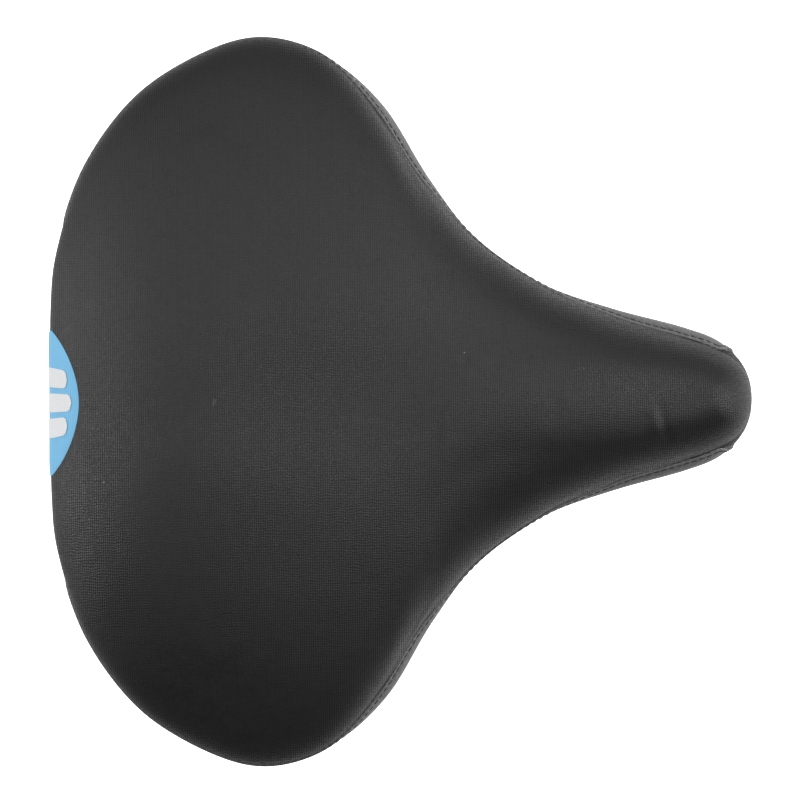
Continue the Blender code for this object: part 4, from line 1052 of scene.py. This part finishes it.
def socket_bolt(name, node, length, axis, body, radius, head_radius, head_height):
    """A round-headed bolt with a hexagon socket and a threaded shank, in the place of a CAD bolt."""
    low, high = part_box(node)
    place = (low + high) / 2
    place.z = low.z + head_height if axis == "Z" else high.z - head_height
    key = 0.42 * head_radius
    socket = [(0, -0.35), (key, -0.40), (key, -0.93), (1.25 * key, -1.0)]
    head = [(share * head_radius, -0.30 - 0.70 * math.sqrt(1 - share**2)) for share in SOCKET_ARC]
    head += [(head_radius, -0.30), (head_radius, -0.05), (0.97 * head_radius, 0)]
    # The rows as wide as the key are its hexagon
    rows = [(across, share * head_height, float(across == key), 0) for across, share in socket + head]
    shank = radius - 0.0001
    end = [(shank, 0), (shank, length - 0.0007), (radius - 0.0006, length), (0, length)]
    rows += [(across, height, 0, 0) for across, height in end]
    bolt = turned(f"{name}_body", rows, place, axis)
    ridge = thread(f"{name}_thread", place, axis, radius, 0.0003, length - 0.0004)
    made = join(name, [bolt, ridge])
    declare(made, body, node)


def thread(name, place, axis, radius, start, end, pitch=THREAD_PITCH):
    """The ridge of a screw thread from start to end along an axis."""
    turns = abs(end - start) / pitch
    share = np.linspace(0, 1, max(round(turns * 20), 8))
    angle = math.tau * turns * share
    path = np.stack([radius * np.cos(angle), radius * np.sin(angle), start + (end - start) * share], -1)
    out = np.stack([np.cos(angle), np.sin(angle), 0 * angle], -1)
    ridge = sweep(name, path - out * 0.0002, THREAD_SECTION, normals=out, finish=ZINC)
    return stand_on(ridge, place, axis)


def toothed_washer(word):
    """A washer with radial teeth on both faces."""
    node = f"serrated_washer_{word}"
    low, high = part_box(node)
    half, outer = (high.y - low.y) / 2, (high.x - low.x) / 2
    angles = round_angles(TEETH * 4)
    tooth = np.abs((np.arange(TEETH * 4) % 4) - 2) / 2
    upper = [(WASHER_HOLE, 0, 1), (outer * 0.55, 0, 1), (outer * 0.56, 0.4, 1), (outer * 0.985, 1, 1)]
    upper.append((outer, 1, 0.9))
    lower = [(radius, share, -sign) for radius, share, sign in reversed(upper)]
    rows = []
    for radius, share, sign in upper + lower:
        height = sign * (half - TOOTH_DEPTH * share * (1 - tooth))
        rows.append(np.stack([radius * np.cos(angles), height, radius * np.sin(angles)], -1))
    centre = np.array((low + high) / 2)
    faces = grid_faces(len(rows), len(angles), wrap_rows=True, wrap_columns=True)
    ring = new_object(f"toothed_washer_{word}", np.array(rows) + centre, faces, ZINC)
    clean(ring, 1e-6, outward=True)
    crisp(ring, 20)
    declare(ring, "collar", node)


def refine(node, finish, width):
    """Keeps a CAD node, with a better finish and softened edges."""
    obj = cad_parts[node]
    for slot in obj.material_slots:
        slot.material = finish
    obj.modifiers.new("weld", "WELD").merge_threshold = 1e-6
    edges = obj.modifiers.new("edges", "BEVEL")
    edges.width = width
    edges.segments = 2
    edges.limit_method = "ANGLE"
    edges.angle_limit = math.radians(38)
    obj.modifiers.new("normals", "WEIGHTED_NORMAL")


def make_fasteners():
    low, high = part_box("clamp_stud")
    for word, side in SIDES:
        for name, node, size, axis, body in NUTS:
            nut(f"{name}_{word}", f"{node}_{word}", *size, axis, body)
        for level, length, axis, body in SPRING_BOLTS:
            name, node = f"{level}_socket_bolt_{word}", f"{level}_spring_bolt_{word}"
            socket_bolt(name, node, length, axis, body, **SPRING_BOLT)
        toothed_washer(word)
        start, end = side * STUD_THREAD[0], side * STUD_THREAD[1]
        ridge = thread(f"stud_thread_{word}", (low + high) / 2, "Y", STUD_RADIUS, start, end, STUD_PITCH)
        declare(ridge, "rail_clamp")
    for word in ("rear", "front"):
        socket_bolt(f"nose_socket_bolt_{word}", f"nose_bolt_{word}", 0.0115, "Z", "seat", **NOSE_BOLT)
    for finish, width, single, paired in REFINED:
        for node in (*single, *(f"{piece}_{word}" for piece in paired for word, _ in SIDES)):
            refine(node, finish, width)


# ---- underside of the seat

RIB_DEPTH, RIB_HALF_WIDTH, RIB_CORNER, RIB_RUN_OUT = 0.0034, 0.0008, 0.0004, 0.003
RIBS_REAR, RIBS_NOSE = -0.062, 0.042
STAPLE_Q, STAPLE_GAP, STAPLE_SINK = 2.8, 0.0115, 0.0004
STAPLE_SPAN, STAPLE_TRIES = (0.35, 15.7), 3.1  # outline points, and places tried between two of them
STAPLE_HALF_WIDTH, STAPLE_HALF_THICKNESS = 0.0006, 0.00028


def rib(start, end, count=24):
    """A moulded rib under the base plate, from start to end in plan."""
    start, end = np.array(start), np.array(end)
    share = np.linspace(0, 1, count)[:, None]
    flat = start + (end - start) * share
    from_end = np.minimum(share[:, 0], 1 - share[:, 0]) * np.linalg.norm(end - start)
    ends = np.clip(from_end / RIB_RUN_OUT, 0.1, 1)
    path = np.concatenate([flat, FLOOR_Z + plate_height(flat[:, :1])], 1)
    half, depth = RIB_HALF_WIDTH, RIB_DEPTH
    right = [(half * 0.4, -depth), (half * 0.8, -depth + RIB_CORNER), (half, -0.0008), (half * 1.5, 0.0003)]
    section = [(-across, up) for across, up in reversed(right)] + right
    normals = np.tile((0.0, 0.0, 1.0), (count, 1))
    made = sweep("rib", path, section, normals=normals, finish=PLASTIC, scale=np.sqrt(ends))
    crisp(made, 40)
    return made


def make_ribs():
    t = np.linspace(5.5 / SPANS, 0.99, 200)
    ramp = np.minimum(BASE_RAMP, RAMP_MOST_SHARE * base_reach(t))
    inner_edge = base_point(t, hem_width(t) + ramp, 0)
    ribs = [rib((RIBS_REAR, y), (RIBS_NOSE, y)) for y in (0.0, 0.012, -0.012)]
    for y, nose in ((0.034, -0.016), (-0.034, -0.016), (0.056, -0.036), (-0.056, -0.036)):
        ribs.append(rib((RIBS_REAR, y), (nose, y)))
    for x in (-0.058, -0.040, -0.022, -0.004, 0.014, 0.032):
        half = np.interp(x, inner_edge[:, 0], inner_edge[:, 1]) - 0.001
        ribs.append(rib((x, -half), (x, half), 30))
    for y in (0.092, 0.102, -0.092, -0.102):
        ribs.append(rib((-0.112, y), (-0.052, y)))
    ribs = join("moulded_ribs", ribs)
    declare(ribs, "seat")


def make_staples(word, side):
    """Staples that hold the covers' hem to the underside of the base."""
    reach = np.array((-0.0042, -0.0041, -0.0036, -0.0018, 0, 0.0018, 0.0036, 0.0041, 0.0042))
    sink = np.array((0.0012, 0.0004, 0.0, -0.0001, -0.00015, -0.0001, 0.0, 0.0004, 0.0012)) - STAPLE_SINK
    section = np.array(((-1, -1), (1, -1), (1, 1), (-1, 1))) * (STAPLE_HALF_WIDTH, STAPLE_HALF_THICKNESS)
    places = spaced(*STAPLE_SPAN, STAPLE_TRIES)
    line = skin(places, np.full(len(places), STAPLE_Q))
    staples, last = [], None
    for t, point in zip(places, line):
        if last is not None and np.linalg.norm(point - last) < STAPLE_GAP:
            continue
        last = point
        t = t + RNG.uniform(-0.001, 0.001)
        along = unit(skin(t + 0.001, STAPLE_Q) - skin(t - 0.001, STAPLE_Q))
        turn = RNG.uniform(-0.25, 0.25)
        inward = np.array((-along[1], along[0], 0))
        along = along * math.cos(turn) + inward * math.sin(turn)
        path = skin(t, STAPLE_Q) + along * reach[:, None] + np.array((0, 0, 1)) * sink[:, None]
        aside = np.cross(unit(np.gradient(path, axis=0)), np.tile(unit(inward), (len(path), 1)))
        flip = np.array((1, side, 1))
        staples.append(sweep("staple", path * flip, section, normals=aside * flip, finish=ZINC))
    staples = join(f"hem_staples_{word}", staples)
    clean(staples, 1e-7, outward=True)
    declare(staples, "seat")


# ---- stage

LIGHT_DISTANCE, LIGHT_CENTRE = 1.6, (-0.015, 0.0, 0.05)
LIGHTS = [  # name, direction round from +X, height in degrees, width and height in metres, watts
    ("rear_low", 180, 22, (0.7, 0.5), 18.0),
    ("rear_high", 180, 60, (0.7, 0.7), 4.0),
    ("left_nose", 45, 35, (0.8, 0.8), 9.4),
    ("nose_high", 0, 62, (0.8, 0.8), 10.0),
    ("left_low", 90, 25, (0.9, 0.7), 1.2),
    ("left_high", 90, 75, (0.6, 0.6), 2.4),
    ("left_rear", 135, 35, (0.8, 0.8), 8.6),
    ("nose_low", 0, 22, (0.7, 0.5), 17.0),
]
FLOOR_DROP, FLOOR_HALF = 0.22, 6
BACKGROUND, AMBIENT = 0.85, 0.03  # what the camera sees past the saddle, and what lights it all round
CAMERA_DISTANCE, FRAME_WIDTH, CAMERA_ROLL = 1.6, 0.3035, math.radians(-0.36)
CAMERA_SHIFT = (-0.0015, 0.0003, 0.035)  # from the middle of the outline


def make_stage():
    """A pale floor that looks pale to the horizon, but throws no light of its own on the saddle."""
    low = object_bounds()[0].z - FLOOR_DROP
    corners = [(x * FLOOR_HALF, y * FLOOR_HALF, low) for x, y in ((-1, -1), (1, -1), (1, 1), (-1, 1))]
    floor = new_object("floor", corners, [[0, 1, 2, 3]])
    paper = Finish("pale_floor", (0.93, 0.93, 0.93), 0.9, Emission_Color=(1.0, 1.0, 1.0, 1.0))
    seen = paper.node("LightPath").outputs["Is Camera Ray"]
    paper.feed(paper.shader.inputs["Emission Strength"], paper.math("MULTIPLY", seen, BACKGROUND))
    floor.data.materials.append(paper.material)


def area_light(name, turn, height, size, watts):
    light = bpy.data.lights.new(name, "AREA")
    light.shape = "RECTANGLE"
    light.size, light.size_y = size
    light.energy = watts
    obj = link(name, light)
    turn, height = math.radians(turn), math.radians(height)
    level = math.cos(height)
    away = Vector((level * math.cos(turn), level * math.sin(turn), math.sin(height)))
    obj.location = Vector(LIGHT_CENTRE) + LIGHT_DISTANCE * away
    obj.rotation_euler = (-away).to_track_quat("-Z", "Y").to_euler()


def make_lights():
    for light in LIGHTS:
        area_light(*light)
    world = bpy.data.worlds.new("studio")
    world.use_nodes = True
    nodes, links = world.node_tree.nodes, world.node_tree.links
    nodes["Background"].inputs["Color"].default_value = (1, 1, 1, 1)
    ray, strength = nodes.new("ShaderNodeLightPath"), nodes.new("ShaderNodeMapRange")
    strength.inputs["To Min"].default_value = AMBIENT
    strength.inputs["To Max"].default_value = BACKGROUND
    links.new(ray.outputs["Is Camera Ray"], strength.inputs["Value"])
    links.new(strength.outputs["Result"], nodes["Background"].inputs["Strength"])
    bpy.context.scene.world = world
    bpy.context.scene.view_settings.view_transform = "Standard"


def make_camera():
    camera = bpy.data.cameras.new("camera")
    camera.lens = camera.sensor_width * CAMERA_DISTANCE / FRAME_WIDTH
    camera.clip_end = 20
    obj = link("camera", camera)
    obj.location = Vector(CAMERA_SHIFT) + Vector((REAR_X + LENGTH / 2, 0, FLOOR_Z + CAMERA_DISTANCE))
    obj.rotation_euler.z = CAMERA_ROLL
    bpy.context.scene.camera = obj


make_stage()
make_lights()
make_camera()
make_top_cover()
for word, side in SIDES:
    make_side_panel(word, side)
    make_seam(word, side)
make_foam()
make_badge()
make_rail()
make_welds()
make_fasteners()
make_ribs()
for word, side in SIDES:
    make_spring(word)
    make_staples(word, side)
